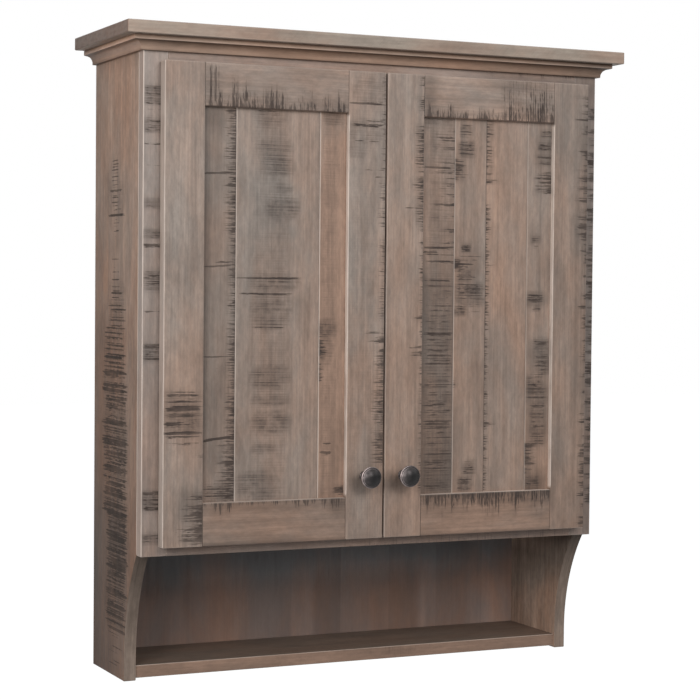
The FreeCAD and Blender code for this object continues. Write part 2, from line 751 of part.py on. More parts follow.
def hinge_cup():
    """Make the cup with its plate on the back of the door and the two ears that hold the pin."""
    radius = "(cup_radius - cup_fit)"
    floor = f"({HINGE_DOOR_BACK} - cup_depth)"
    outer = rod("+y", CUP_MIDDLE, floor, "0", radius, "cup_depth")
    inner = rod("+y", CUP_MIDDLE, f"{floor} + cup_wall", "0", f"{radius} - cup_wall",
                "cup_depth + cup_plate_thickness")
    plate = block(PLATE_START, HINGE_DOOR_BACK, "-cup_plate_half_height", "cup_plate_width",
                  "cup_plate_thickness", "2 * cup_plate_half_height")
    shell = carve(join([outer, plate]), [inner])
    ears = []
    for low in ("cup_ear_inner", "-cup_ear_inner - cup_ear_reach - cup_wall"):
        ear = block("-2 * pin_radius", floor, low, "4 * pin_radius", "-1 * " + floor + " + 2 * pin_radius",
                    "cup_ear_reach + cup_wall")
        hull = rod("+y", CUP_MIDDLE, floor, "0", radius, "cup_depth")
        ears.append(shared(ear, hull))
    holes = [rod("+z", "0", "0", "-cup_radius", "pin_radius + hole_fit", "2 * cup_radius")]
    for step in (-1, 1):
        holes.append(hole_through("+y", CUP_SCREW_X, HINGE_DOOR_BACK, f"{step} * cup_screw_offset",
                                  "hinge_screw_radius + hole_fit", "cup_plate_thickness"))
    return carve(join([shell] + ears), holes)


def hinge_arm():
    """Make the arm: an eye on the pin, a neck out of the cup and a foot on the stile's edge."""
    low = "-arm_half_height"
    tall = "2 * arm_half_height"
    half = "(arm_thickness / 2)"
    neck_back = f"({HINGE_FRAME_FRONT} + arm_frame_gap)"
    foot_length = "(frame_thickness - 2 * arm_frame_gap)"
    eye = rod("+z", "0", "0", low, "arm_eye_radius", tall)
    bar = block("0", f"-{half}", low, f"arm_reach + {half}", "arm_thickness", tall)
    neck = block(f"arm_reach - {half}", f"-{half}", low, "arm_thickness",
                 f"{neck_back} + arm_thickness + {half}", tall)
    bridge = block(STILE_EDGE, neck_back, low, f"arm_reach + {half} - {STILE_EDGE}", "arm_thickness", tall)
    foot = block(STILE_EDGE, neck_back, low, "arm_thickness", foot_length, tall)
    holes = [
        rod("+z", "0", "0", low, "pin_radius + pivot_clearance", tall),
        hole_through("+x", STILE_EDGE, ARM_SCREW_Y, "0", "hinge_screw_radius + hole_fit", "arm_thickness"),
    ]
    return carve(join([eye, bar, neck, bridge, foot]), holes)


def hinges():
    """Make each door's cups, pins and screws, and the arms and their screws on the case."""
    plate_back = f"{HINGE_DOOR_BACK} + cup_plate_thickness"
    cup_screw_pair = [screw("-y", CUP_SCREW_X, plate_back, f"{step} * cup_screw_offset", *HINGE_SCREW)
                      for step in (-1, 1)]
    originals = {
        "door_hinge_cups": [hinge_cup()],
        "door_hinge_pins": [rod("+z", "0", "0", "-pin_half_length", "pin_radius", "2 * pin_half_length")],
        "door_hinge_cup_screws": cup_screw_pair,
        "hinge_arms": [hinge_arm()],
        "hinge_arm_screws": [screw("-x", f"{STILE_EDGE} + arm_thickness", ARM_SCREW_Y, "0", *HINGE_SCREW)],
    }
    for side in SIDES:
        for name, pieces in originals.items():
            sources = pieces if side == "left" else [mirrored(piece) for piece in pieces]
            copies = [copy_at(source, *pivot_place(side, level)) for source in sources
                      for level in HINGE_LEVELS]
            node(group(copies), f"{side}_{name}")


# Assembly

for panel_side in SIDES:
    side_panel(panel_side)
case_boards()
adjustable_shelves()
face_frame()
crown()
PLANK_WIDTHS = {
    "left": ("left_first_plank", "left_second_plank"),
    "right": ("right_first_plank", "right_second_plank", "right_third_plank"),
}
for door_side in SIDES:
    door_stiles(door_side)
    door_rails(door_side)
    door_planks(door_side, PLANK_WIDTHS[door_side])
    knob(door_side)
    bumpers(door_side)
hinges()
doc.recompute()

for item in doc.Objects:
    if "Invalid" in item.State or "Error" in item.State:
        raise RuntimeError(f"{item.Label} failed: {item.State}")
for item in nodes:
    if item.Shape.isNull() or not item.Shape.isValid() or not item.Shape.Solids:
        raise RuntimeError(f"{item.Label} has no valid solid")
for item in nodes:
    item.Shape.exportStep(f"parts/{item.Label}.step")
print(len(nodes), "pieces written")
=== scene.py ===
"""Dress the wall-hung bathroom cabinet: sawn and stained boards, moulded crown, knobs and fittings.

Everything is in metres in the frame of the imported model: X to the right, Y towards the wall, Z up.
Sizes written in the classes are millimetres, as a cabinetmaker would write them.
"""

import logging
import math
import random
from dataclasses import dataclass, field
from enum import Enum
from functools import cache, partial

import bmesh
import bpy
import numpy as np
from mathutils import Matrix, Vector, noise


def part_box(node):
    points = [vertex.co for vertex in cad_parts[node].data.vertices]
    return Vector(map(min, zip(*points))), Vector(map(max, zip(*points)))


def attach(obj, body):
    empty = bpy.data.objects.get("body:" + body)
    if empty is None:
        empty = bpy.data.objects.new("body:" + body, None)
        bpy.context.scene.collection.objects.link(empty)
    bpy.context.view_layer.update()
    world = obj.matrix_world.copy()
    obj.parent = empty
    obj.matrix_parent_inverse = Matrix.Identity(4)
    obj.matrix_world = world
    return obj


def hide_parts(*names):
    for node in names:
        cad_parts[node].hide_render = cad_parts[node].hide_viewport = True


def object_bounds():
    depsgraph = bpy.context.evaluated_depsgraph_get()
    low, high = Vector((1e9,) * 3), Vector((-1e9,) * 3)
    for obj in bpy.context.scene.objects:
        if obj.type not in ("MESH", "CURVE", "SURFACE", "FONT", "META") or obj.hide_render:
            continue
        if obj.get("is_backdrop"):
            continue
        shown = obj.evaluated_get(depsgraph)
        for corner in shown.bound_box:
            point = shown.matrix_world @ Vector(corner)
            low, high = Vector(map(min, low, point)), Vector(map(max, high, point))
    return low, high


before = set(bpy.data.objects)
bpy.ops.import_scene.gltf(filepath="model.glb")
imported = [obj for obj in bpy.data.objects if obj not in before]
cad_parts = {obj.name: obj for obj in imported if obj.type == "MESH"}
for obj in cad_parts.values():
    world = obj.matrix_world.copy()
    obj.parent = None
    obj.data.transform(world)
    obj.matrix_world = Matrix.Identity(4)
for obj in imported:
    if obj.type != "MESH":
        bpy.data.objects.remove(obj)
CAD_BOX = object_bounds()

LOG = logging.getLogger("cabinet")
MM = 0.001
# How close to a face a point counts as on it, and how far a cutter stands out of the face that it bores
NEAR, OVERCUT = 0.5, 1.0
# Marks that are thinner than this are bars, and strewn strokes keep such shares of their pitch
THIN, STREW = 9.0, (0.45, 1.55)
WHITE = (1.0, 1.0, 1.0, 1.0)
GRAIN_MAP = "grain"
Span = tuple[float, float]
Colour = tuple[float, float, float]


class Axis(Enum):
    """An axis of the frame, with its index."""

    X = 0
    Y = 1
    Z = 2


class Start(Enum):
    """Where a group of saw marks is deepest across a board."""

    ALL = "all over"
    LOW = "from the low edge"
    HIGH = "from the high edge"


class Kind(Enum):
    """A kind of saw mark: its shares of crisp cuts, of soft haze and of plain darkening, which stands for stain in some
    places and paints shade and shadows in others.
    """

    SPIKES = (1.0, 0.42, 0.14)
    BAR = (1.0, 0.0, 0.0)
    RIBS = (1.0, 0.50, 0.12)
    SMUDGE = (0.56, 1.0, 0.24)
    HAZE = (0.0, 0.86, 0.12)
    STAIN = (0.0, 0.0, 1.0)


class Side(Enum):
    """A side of the cabinet, with the sign of its X."""

    LEFT = -1
    RIGHT = 1

    @property
    def word(self) -> str:
        """The side's name as the nodes spell it."""
        return self.name.lower()


def linear(colour: Colour) -> tuple[float, float, float, float]:
    """Turn a colour as seen on a screen into the linear one that shaders take.

    Args:
        colour: Red, green and blue from 0 to 1, as a screen shows them.

    Returns:
        The linear red, green, blue and an alpha of 1.
    """
    parts = [c / 12.92 if c <= 0.04045 else ((c + 0.055) / 1.055) ** 2.4 for c in colour]
    return parts[0], parts[1], parts[2], 1.0


class NodeBench:
    """Lays out the nodes of one tree and hands back their sockets."""

    def __init__(self, tree: bpy.types.NodeTree) -> None:
        """Start with an empty tree.

        Args:
            tree: The tree to lay out.
        """
        self.tree = tree
        tree.nodes.clear()

    def add(self, kind: str, inputs: dict | None = None, **settings: object) -> bpy.types.Node:
        """Add a node, set its properties and feed its inputs.

        Args:
            kind: The node's type name.
            inputs: A value, an output socket or a list of sockets for each input, by name or number.
            settings: Properties of the node.

        Returns:
            The node.
        """
        made = self.tree.nodes.new(kind)
        for key, setting in settings.items():
            setattr(made, key, setting)
        for key, given in (inputs or {}).items():
            for one in given if isinstance(given, list) else [given]:
                if isinstance(one, bpy.types.NodeSocket):
                    self.tree.links.new(one, made.inputs[key])
                else:
                    made.inputs[key].default_value = one
        return made

    def sum(self, kind: str, first: object, second: object, clamp: bool = False) -> bpy.types.NodeSocket:
        """Do arithmetic on two numbers or sockets; kind is the operation's name."""
        return self.add("ShaderNodeMath", {0: first, 1: second}, operation=kind, use_clamp=clamp).outputs[0]

    def mix(self, share: object, first: object, second: object) -> bpy.types.NodeSocket:
        """Mix two colours; share is how much of the second one shows."""
        return self.add("ShaderNodeMix", {0: share, 6: first, 7: second}, data_type="RGBA").outputs[2]


class ShaderBench(NodeBench):
    """Lays out the nodes of one material."""

    def __init__(self, name: str) -> None:
        """Start an empty material.

        Args:
            name: The material's name.
        """
        self.material = bpy.data.materials.new(name)
        self.material.use_nodes = True
        super().__init__(self.material.node_tree)

    def ease(self, given: object, low: float, high: float, start: float = 0.0,
             end: float = 1.0) -> bpy.types.NodeSocket:
        """Pass a value smoothly from start to end while it goes from low to high.

        Args:
            given: The value.
            low: Where the step begins.
            high: Where the step ends.
            start: The result at low.
            end: The result at high.

        Returns:
            The eased value.
        """
        fed = {"Value": given, "From Min": low, "From Max": high, "To Min": start, "To Max": end}
        return self.add("ShaderNodeMapRange", fed, interpolation_type="SMOOTHSTEP").outputs[0]

    def noise(self, where: bpy.types.NodeSocket, stretch: Colour, detail: float = 2.0, rough: float = 0.5,
              twist: float = 0.0) -> bpy.types.NodeSocket:
        """Make a noise with its own count of features per metre along each direction.

        Args:
            where: The coordinates, in metres.
            stretch: Features per metre along each of the three directions.
            detail: Octaves of finer noise.
            rough: Weight of the finer octaves.
            twist: Amount of distortion.

        Returns:
            The noise, from 0 to 1.
        """
        placed = self.add("ShaderNodeVectorMath", {0: where, 1: stretch}, operation="MULTIPLY").outputs[0]
        fed = {"Vector": placed, "Scale": 1.0, "Detail": detail, "Roughness": rough, "Distortion": twist}
        return self.add("ShaderNodeTexNoise", fed).outputs[0]

    def scaled_sum(self, given: object, factor: float, extra: object) -> bpy.types.NodeSocket:
        """Multiply a value by a factor and add another value."""
        return self.add("ShaderNodeMath", {0: given, 1: factor, 2: extra}, operation="MULTIPLY_ADD").outputs[0]

    def dim(self, colour: object, amount: bpy.types.NodeSocket) -> bpy.types.NodeSocket:
        """Multiply a colour by a number."""
        return self.add("ShaderNodeVectorMath", {0: colour, "Scale": amount}, operation="SCALE").outputs[0]

    def attribute(self, name: str) -> bpy.types.NodeSocket:
        """Read a number that the mesh carries."""
        return self.add("ShaderNodeAttribute", attribute_name=name).outputs["Fac"]

    def grain(self) -> bpy.types.NodeSocket:
        """Read the board's own map: metres across and along the grain."""
        return self.add("ShaderNodeUVMap", uv_map=GRAIN_MAP).outputs[0]

    def place(self) -> bpy.types.NodeSocket:
        """Read the place on the object, in metres."""
        return self.add("ShaderNodeTexCoord").outputs["Object"]

    def shade(self, inputs: dict, height: bpy.types.NodeSocket, depth: float,
              strength: float) -> bpy.types.Material:
        """End the material in a shader with a bump.

        Args:
            inputs: Values and sockets of the shader.
            height: The height that makes the bump.
            depth: The bump's depth in metres.
            strength: The bump's strength.

        Returns:
            The finished material.
        """
        bump = self.add("ShaderNodeBump", {"Height": height, "Distance": depth, "Strength": strength})
        shader = self.add("ShaderNodeBsdfPrincipled", {**inputs, "Normal": bump.outputs[0]})
        self.add("ShaderNodeOutputMaterial", {0: shader.outputs[0]})
        return self.material


@dataclass(frozen=True)
class SawnMaple:
    """Stained maple with the dark cross marks of a rough saw, dark grain and pale edges, partly from use and partly
    painted highlight; the tone that each point carries also paints light and shade.
    """

    slot: str
    cool: Colour = (0.526, 0.490, 0.458)
    warm: Colour = (0.590, 0.480, 0.410)
    mark: Colour = (0.200, 0.158, 0.136)
    worn: Colour = (0.880, 0.812, 0.760)
    figure: float = 1.0
    band_width: float = 0.0
    rough: float = 0.50
    gloss: float = 0.35
    coarse: float = 0.22
    broken: float = 0.30
    slant: float = 0.012
    mark_rough: float = 0.22
    mark_sink: float = 0.9
    bump_depth: float = 0.0006
    bump: float = 0.35

    # Features of each noise in a metre across the grain, along it and through it
    BROAD, CLOUD, PORE = (11.0, 4.2, 1.0), (26.0, 8.0, 1.0), (170.0, 60.0, 1.0)
    STREAK, FIBRE, RUB = (100.0, 2.2, 1.0), (330.0, 9.0, 1.0), (60.0, 14.0, 1.0)
    COARSE_CUT, FINE_CUT, BROKEN_CUT = (2.4, 150.0, 1.0), (3.2, 500.0, 1.0), (75.0, 330.0, 1.0)
    INK, RIPPLE, HAZE = (16.0, 75.0, 1.0), (5.0, 520.0, 1.0), (45.0, 55.0, 1.0)

    def material(self) -> bpy.types.Material:
        """Build the stain, grain, saw marks, painted light and shade, and pale edges from use and painted highlight.

        Returns:
            The material.
        """
        bench = ShaderBench(f"{self.slot}_stained")
        grain = bench.grain()
        wear, blush, tone = (bench.attribute(name) for name in ("wear", "blush", "tone"))
        broad = bench.noise(grain, self.BROAD, 5.0, 0.62, 0.3)
        hue = bench.sum("ADD", bench.ease(broad, 0.26, 0.74, -0.36, 0.36), blush, clamp=True)
        stain = bench.mix(hue, linear(self.cool), linear(self.warm))
        streak = bench.noise(grain, self.STREAK, 4.0, 0.66)
        fibre = bench.noise(grain, self.FIBRE, 3.0, 0.65)
        cloud = bench.noise(grain, self.CLOUD, 5.0, 0.66, 0.25)
        pore = bench.noise(grain, self.PORE, 3.0, 0.7)
        light = bench.ease(streak, 0.28, 0.72, 1.0 - 0.13 * self.figure, 1.0 + 0.10 * self.figure)
        for part, low, high in ((fibre, 0.90, 1.07), (cloud, 0.82, 1.14), (pore, 0.90, 1.08)):
            low, high = (1.0 + (end - 1.0) * self.figure for end in (low, high))
            light = bench.sum("MULTIPLY", light, bench.ease(part, 0.27, 0.73, low, high))
        # The tone holds each board's own lightness and also painted light and shade.
        light = bench.sum("MULTIPLY", light, tone)
        if self.band_width:
            light = bench.sum("MULTIPLY", light, self.bands(bench, grain))
        stain = bench.dim(stain, light)
        dashes = self.dashes(bench, grain)
        stain = bench.mix(dashes, stain, linear(self.mark))
        # Pale edges: paler from use, and painted highlights on the edges that face the lamps.
        pale_breakup = bench.noise(grain, self.RUB, 3.0, 0.6)
        pale = bench.sum("MULTIPLY", wear, bench.ease(pale_breakup, 0.30, 0.62, 0.55, 1.0))
        stain = bench.mix(pale, stain, linear(self.worn))
        matt = bench.ease(streak, 0.3, 0.7, self.rough - 0.05, self.rough + 0.08)
        rough = bench.scaled_sum(dashes, self.mark_rough, matt)
        height = bench.scaled_sum(dashes, -self.mark_sink, bench.sum("ADD", fibre, streak))
        return bench.shade({"Base Color": stain, "Roughness": rough, "Specular IOR Level": self.gloss},
                           height, self.bump_depth, self.bump)

    def bands(self, bench: ShaderBench, grain: bpy.types.NodeSocket) -> bpy.types.NodeSocket:
        """Shade each board of a glued-up panel a little differently.

        Args:
            bench: The material's bench.
            grain: The board's map.

        Returns:
            A number to multiply the stain by.
        """
        across = bench.add("ShaderNodeSeparateXYZ", {0: grain}).outputs[0]
        count = bench.sum("FLOOR", bench.sum("DIVIDE", across, self.band_width), 0.0)
        chance = bench.add("ShaderNodeTexWhiteNoise", {"W": count}, noise_dimensions="1D").outputs[0]
        return bench.ease(chance, 0.0, 1.0, 0.74, 1.18)

    def dashes(self, bench: ShaderBench, grain: bpy.types.NodeSocket) -> bpy.types.NodeSocket:
        """Cut the fine dark dashes across the grain, and the haze of stain, where the saw bit.

        Args:
            bench: The material's bench.
            grain: The board's map.

        Returns:
            How dark the mark is, from 0 to 1.
        """
        saw, haze = bench.attribute("saw"), bench.attribute("haze")
        split = bench.add("ShaderNodeSeparateXYZ", {0: grain}).outputs
        leant = bench.scaled_sum(split[0], self.slant, split[1])
        cutting = bench.add("ShaderNodeCombineXYZ", {0: split[0], 1: leant}).outputs[0]
        level = bench.sum("MULTIPLY", bench.noise(cutting, self.COARSE_CUT, 2.0, 0.55), self.coarse)
        fine = 1.0 - self.coarse - self.broken
        for stretch, share in ((self.FINE_CUT, fine), (self.BROKEN_CUT, self.broken)):
            level = bench.scaled_sum(bench.noise(cutting, stretch, 2.0, 0.55), share, level)
        level = bench.ease(level, 0.40, 0.60)
        bite = bench.scaled_sum(saw, 1.10, -1.05)
        ink = bench.ease(bench.noise(grain, self.INK, 3.0, 0.6), 0.25, 0.72, 0.55, 1.0)
        cut = bench.sum("MULTIPLY", bench.ease(bench.sum("ADD", level, bite), 0.0, 0.45), ink)
        ripple = bench.ease(bench.noise(cutting, self.RIPPLE, 2.0, 0.6), 0.36, 0.64, 0.30, 1.0)
        cloudy = bench.ease(bench.noise(grain, self.HAZE, 4.0, 0.65), 0.3, 0.68, 0.32, 1.1)
        soft = bench.sum("MULTIPLY", bench.sum("MULTIPLY", haze, ripple), cloudy)
        return bench.sum("MAXIMUM", cut, bench.sum("MULTIPLY", bench.sum("ADD", soft, cut), 0.85), clamp=True)


@dataclass(frozen=True)
class DarkBronze:
    """Dark bronze under an oiled patina: nearly black, with paler metal on the rim where hands go, and a painted
    highlight on the rim and the face on the lit side.
    """

    slot: str
    body: Colour = (0.108, 0.104, 0.105)
    rubbed: Colour = (0.640, 0.585, 0.575)

    def material(self) -> bpy.types.Material:
        """Build the patina, the paler rim and the painted highlight.

        Returns:
            The material.
        """
        bench = ShaderBench(f"{self.slot}_patina")
        place = bench.place()
        cloud = bench.noise(place, (160.0, 160.0, 160.0), 4.0, 0.6)
        fine = bench.noise(place, (900.0, 900.0, 900.0), 2.0)
        # Paler metal where hands go round the rim, and a painted highlight on the lit side.
        rim = bench.sum("MULTIPLY", bench.attribute("wear"), bench.ease(cloud, 0.3, 0.7, 0.5, 1.0))
        colour = bench.mix(rim, linear(self.body), linear(self.rubbed))
        colour = bench.dim(colour, bench.ease(cloud, 0.3, 0.7, 0.9, 1.1))
        rough = bench.ease(cloud, 0.3, 0.7, 0.36, 0.44)
        return bench.shade({"Base Color": colour, "Roughness": rough, "Metallic": 0.75}, fine, 0.0002, 0.12)


@dataclass(frozen=True)
class Nickel:
    """Nickel plate with faint drawn lines."""

    slot: str
    plate: Colour = (0.78, 0.77, 0.75)

    def material(self) -> bpy.types.Material:
        """Build the plate with its drawn lines.

        Returns:
            The material.
        """
        bench = ShaderBench(f"{self.slot}_nickel")
        place = bench.place()
        drawn = bench.noise(place, (1800.0, 1800.0, 90.0), 2.0)
        cloud = bench.noise(place, (120.0, 120.0, 120.0), 3.0)
        colour = bench.dim(linear(self.plate)[:3], bench.ease(cloud, 0.3, 0.7, 0.86, 1.04))
        rough = bench.ease(drawn, 0.25, 0.75, 0.22, 0.36)
        return bench.shade({"Base Color": colour, "Roughness": rough, "Metallic": 1.0}, drawn, 0.0001, 0.10)


@dataclass(frozen=True)
class PlainFinish:
    """A plain finish, read by place: one noise tints it, dulls it and gives it a fine bump."""

    slot: str
    name: str
    body: Colour
    stretch: Colour
    tint: Span
    rough: Span
    depth: float

    def material(self) -> bpy.types.Material:
        """Build the finish.

        Returns:
            The material.
        """
        bench = ShaderBench(self.name)
        cloud = bench.noise(bench.place(), self.stretch, 3.0, 0.6)
        colour = bench.dim(linear(self.body)[:3], bench.ease(cloud, 0.3, 0.7, *self.tint))
        rough = bench.ease(cloud, 0.3, 0.7, *self.rough)
        return bench.shade({"Base Color": colour, "Roughness": rough}, cloud, self.depth, 0.2)


@cache
def shared(finish: object) -> bpy.types.Material:
    """Return a finish's material, built the first time, so that pieces share it."""
    return finish.material()


SIDE_WOOD = SawnMaple("side_wood", cool=(0.572, 0.505, 0.455), warm=(0.612, 0.464, 0.372), figure=1.3, coarse=0.36,
                      broken=0.24, slant=0.0, mark=(0.236, 0.202, 0.184), gloss=0.08)
FRAME_WOOD = SawnMaple("face_frame_wood", cool=(0.515, 0.480, 0.455), warm=(0.560, 0.460, 0.400))
CROWN_WOOD = SawnMaple("crown_wood", cool=(0.600, 0.552, 0.504), warm=(0.612, 0.478, 0.405), figure=0.8, slant=-0.9,
                       gloss=0.06)
MOULDING_WOOD = SawnMaple("crown_wood", cool=(0.545, 0.470, 0.415), warm=(0.584, 0.468, 0.394), figure=0.8,
                          gloss=0.14)
DOOR_WOOD = SawnMaple("door_frame_wood", figure=1.2)
PLANK_WOOD = SawnMaple("door_plank_wood", figure=1.15)
INSIDE_WOOD = SawnMaple("interior_wood", cool=(0.438, 0.430, 0.426), warm=(0.545, 0.428, 0.366), figure=0.45,
                        band_width=0.088, rough=0.55)
SHELF_WOOD = SawnMaple("interior_wood", cool=(0.500, 0.440, 0.392), warm=(0.548, 0.442, 0.374), rough=0.55)
BRONZE = DarkBronze("knob_bronze")
NICKEL = Nickel("hinge_steel")
RUBBER = PlainFinish("bumper_rubber", "bumper_rubber_soft", (0.80, 0.785, 0.76), (700.0, 700.0, 700.0), (0.88, 1.05),
                     (0.55, 0.75), 0.0001)
BIRCH = PlainFinish("interior_wood", "dowel_birch", (0.76, 0.66, 0.54), (30.0, 900.0, 900.0), (0.85, 1.06),
                    (0.5, 0.65), 0.0002)


@dataclass(frozen=True)
class SawMark:
    """One group of saw marks on a board's shown face, in millimetres of the frame."""

    across: Span
    along: Span
    depth: float
    start: Start = Start.ALL
    kind: Kind = Kind.RIBS
    lean: float = 0.0

    # The rows that a thin line needs, and how marks fade in at their sides and ends, in millimetres and shares
    ROW_PITCH, ROW_ROOM = 1.1, 1.0
    SIDE_FADE, SIDE_START = 20.0, 0.15
    LINE_FADE, STAIN_FADE, END_FADE, END_START = 0.8, 70.0, 9.0, 0.35
    HAZE_CORE, HAZE_SHAPE, HAZE_FALL = 1.15, 2.2, 0.7

    def rows(self) -> list[float]:
        """List the extra rows of the board's grid that a thin line needs.

        Returns:
            Places along the grain, in millimetres.
        """
        if self.kind is not Kind.BAR:
            return []
        low = min(self.along[0], self.along[0] + self.lean) - self.ROW_ROOM
        high = max(self.along[1], self.along[1] + self.lean) + self.ROW_ROOM
        return list(np.arange(low, high + self.ROW_ROOM / 2, self.ROW_PITCH))

    def bite(self, across: np.ndarray, along: np.ndarray) -> np.ndarray:
        """Work out how deep the saw bit at some points.

        Args:
            across: Places across the grain, in millimetres.
            along: Places along the grain, in millimetres.

        Returns:
            The depth at each point.
        """
        width, length = self.across[1] - self.across[0], self.along[1] - self.along[0]
        share = (across - self.across[0]) / width
        inside = (share >= -0.001) & (share <= 1.001)
        share = np.clip(share, 0.0, 1.0)
        row = along - self.lean * share
        if self.kind is Kind.HAZE:
            far = np.clip(np.abs(2.0 * (row - self.along[0]) / length - 1.0), 0.0, 1.0)
            side = np.abs(2.0 * share - 1.0)
            core = self.HAZE_CORE - side ** self.HAZE_SHAPE - far ** self.HAZE_SHAPE
            return np.where(inside, self.depth * np.clip(core, 0.0, 1.0) ** self.HAZE_FALL, 0.0)
        if self.start is Start.LOW:
            fade = 1.0 - share
        elif self.start is Start.HIGH:
            fade = share
        else:
            near = np.minimum(share, 1.0 - share) * width
            fade = np.clip(near / min(self.SIDE_FADE, width / 4.0) + self.SIDE_START, 0.0, 1.0)
        room = np.minimum(row - self.along[0], self.along[1] - row)
        stain = self.kind is Kind.STAIN
        reach = min(self.STAIN_FADE if stain else self.END_FADE, length / 3.0)
        reach = self.LINE_FADE if self.kind is Kind.BAR else reach
        ends = np.clip(room / reach + (0.0 if stain else self.END_START), 0.0, 1.0)
        return np.where(inside, self.depth * fade * ends, 0.0)


def marks(*rows: tuple, start: Start = Start.ALL, kind: Kind | None = None) -> tuple[SawMark, ...]:
    """Write several groups of saw marks in short.

    Args:
        rows: For each group: across from, across to, along from, along to, depth and lean if any.
        start: Where the groups are deepest.
        kind: What they are; if not given, spikes at an edge, bars where thin, and ribs elsewhere.

    Returns:
        The groups.
    """
    made = []
    for row in rows:
        thin = row[3] - row[2] < THIN
        guess = Kind.SPIKES if start is not Start.ALL else Kind.BAR if thin else Kind.RIBS
        made.append(SawMark(row[:2], row[2:4], row[4], start, kind or guess, row[5] if len(row) > 5 else 0.0))
    return tuple(made)


# The plain darkening paints stain in some places and shade and shadows in others.
hazes, smudges, stains_and_shade = (partial(marks, kind=kind) for kind in (Kind.HAZE, Kind.SMUDGE, Kind.STAIN))
from_low, from_high = (partial(marks, start=start) for start in (Start.LOW, Start.HIGH))


def strewn(across: Span, along: Span, pitch: float, thick: Span, reach: Span, depth: Span, seed: int,
           start: Start = Start.ALL, kind: Kind = Kind.BAR) -> tuple[SawMark, ...]:
    """Strew saw strokes along a board, no two alike.

    Args:
        across: The strip across the grain that holds them, in millimetres.
        along: Where they begin and end along the grain.
        pitch: The usual distance from one to the next.
        thick: The least and greatest thickness of a stroke.
        reach: The least and greatest share of the strip that a stroke crosses.
        depth: The least and greatest depth.
        seed: Fixes the chance.
        start: The edge that the strokes start from.
        kind: What they are.

    Returns:
        The strokes.
    """
    chance = random.Random(seed)
    made, place = [], along[0]
    while place < along[1]:
        wide = (across[1] - across[0]) * chance.uniform(*reach)
        lead = {Start.LOW: 0.0, Start.HIGH: 1.0, Start.ALL: chance.random()}[start]
        begin = across[0] + (across[1] - across[0] - wide) * lead
        made.append(SawMark((begin, begin + wide), (place, place + chance.uniform(*thick)), chance.uniform(*depth),
                            start, kind))
        place += pitch * chance.uniform(*STREW)
    return tuple(made)


@dataclass
class Draft:
    """A mesh being drawn: points, faces, a map across and along the grain, and numbers at each point."""

    points: np.ndarray
    faces: list[tuple[int, ...]]
    grain: np.ndarray
    carried: dict[str, np.ndarray] = field(default_factory=dict)

    def object(self, name: str, material: bpy.types.Material) -> bpy.types.Object:
        """Make the mesh object.

        Args:
            name: The piece's name.
            material: Its material.

        Returns:
            The new object, linked to the scene at the origin.
        """
        mesh = bpy.data.meshes.new(name)
        mesh.from_pydata(self.points.tolist(), [], self.faces)
        layer = mesh.uv_layers.new(name=GRAIN_MAP)
        layer.data.foreach_set("uv", np.asarray(self.grain, np.float32).ravel())
        for key, numbers in self.carried.items():
            column = mesh.attributes.new(key, "FLOAT", "POINT")
            column.data.foreach_set("value", np.asarray(numbers, np.float32))
        mesh.materials.append(material)
        made = bpy.data.objects.new(name, mesh)
        bpy.context.scene.collection.objects.link(made)
        smooth(mesh)
        return made


def smooth(mesh: bpy.types.Mesh, angle: float = 50.0) -> None:
    """Shade a mesh smoothly except at sharp edges.

    Args:
        mesh: The mesh.
        angle: The angle in degrees above which an edge stays sharp.
    """
    mesh.shade_smooth()
    mesh.set_sharp_from_angle(angle=math.radians(angle))
    mesh.validate()
    mesh.update()


def settle(piece: bpy.types.Object, body: str, slot: str, *nodes: str) -> bpy.types.Object:
    """Set a finished piece on its body, in place of its CAD nodes.

    Args:
        piece: The finished piece.
        body: The CAD body that it moves with.
        slot: The record's material slot; not used.
        nodes: The CAD nodes that it stands for.

    Returns:
        The piece.
    """
    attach(piece, body)
    if nodes:
        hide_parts(*nodes)
    LOG.info("%s on %s: %d faces", piece.name, body, len(piece.data.polygons))
    return piece


def loose_parts(node: str) -> list[tuple[Vector, Vector]]:
    """Find the boxes of a CAD node's separate solids.

    Args:
        node: The node's name.

    Returns:
        The lowest and highest corner of each solid, in metres, sorted by place.
    """
    drawn = bmesh.new()
    drawn.from_mesh(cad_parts[node].data)
    bmesh.ops.remove_doubles(drawn, verts=drawn.verts, dist=1e-6)
    left, parts = set(drawn.verts), []
    while left:
        heap, found = [left.pop()], []
        while heap:
            point = heap.pop()
            found.append(point.co.copy())
            for edge in point.link_edges:
                other = edge.other_vert(point)
                if other in left:
                    left.remove(other)
                    heap.append(other)
        spots = np.array(found)
        parts.append((Vector(spots.min(0)), Vector(spots.max(0))))
    drawn.free()
    return sorted(parts, key=lambda pair: tuple(round(c, 5) for c in pair[0]))


class Fitting(Enum):
    """A small repeated shape that a node tree makes."""

    SCREW = "screw"
    ROD = "rod"
    BUMPER = "bumper"


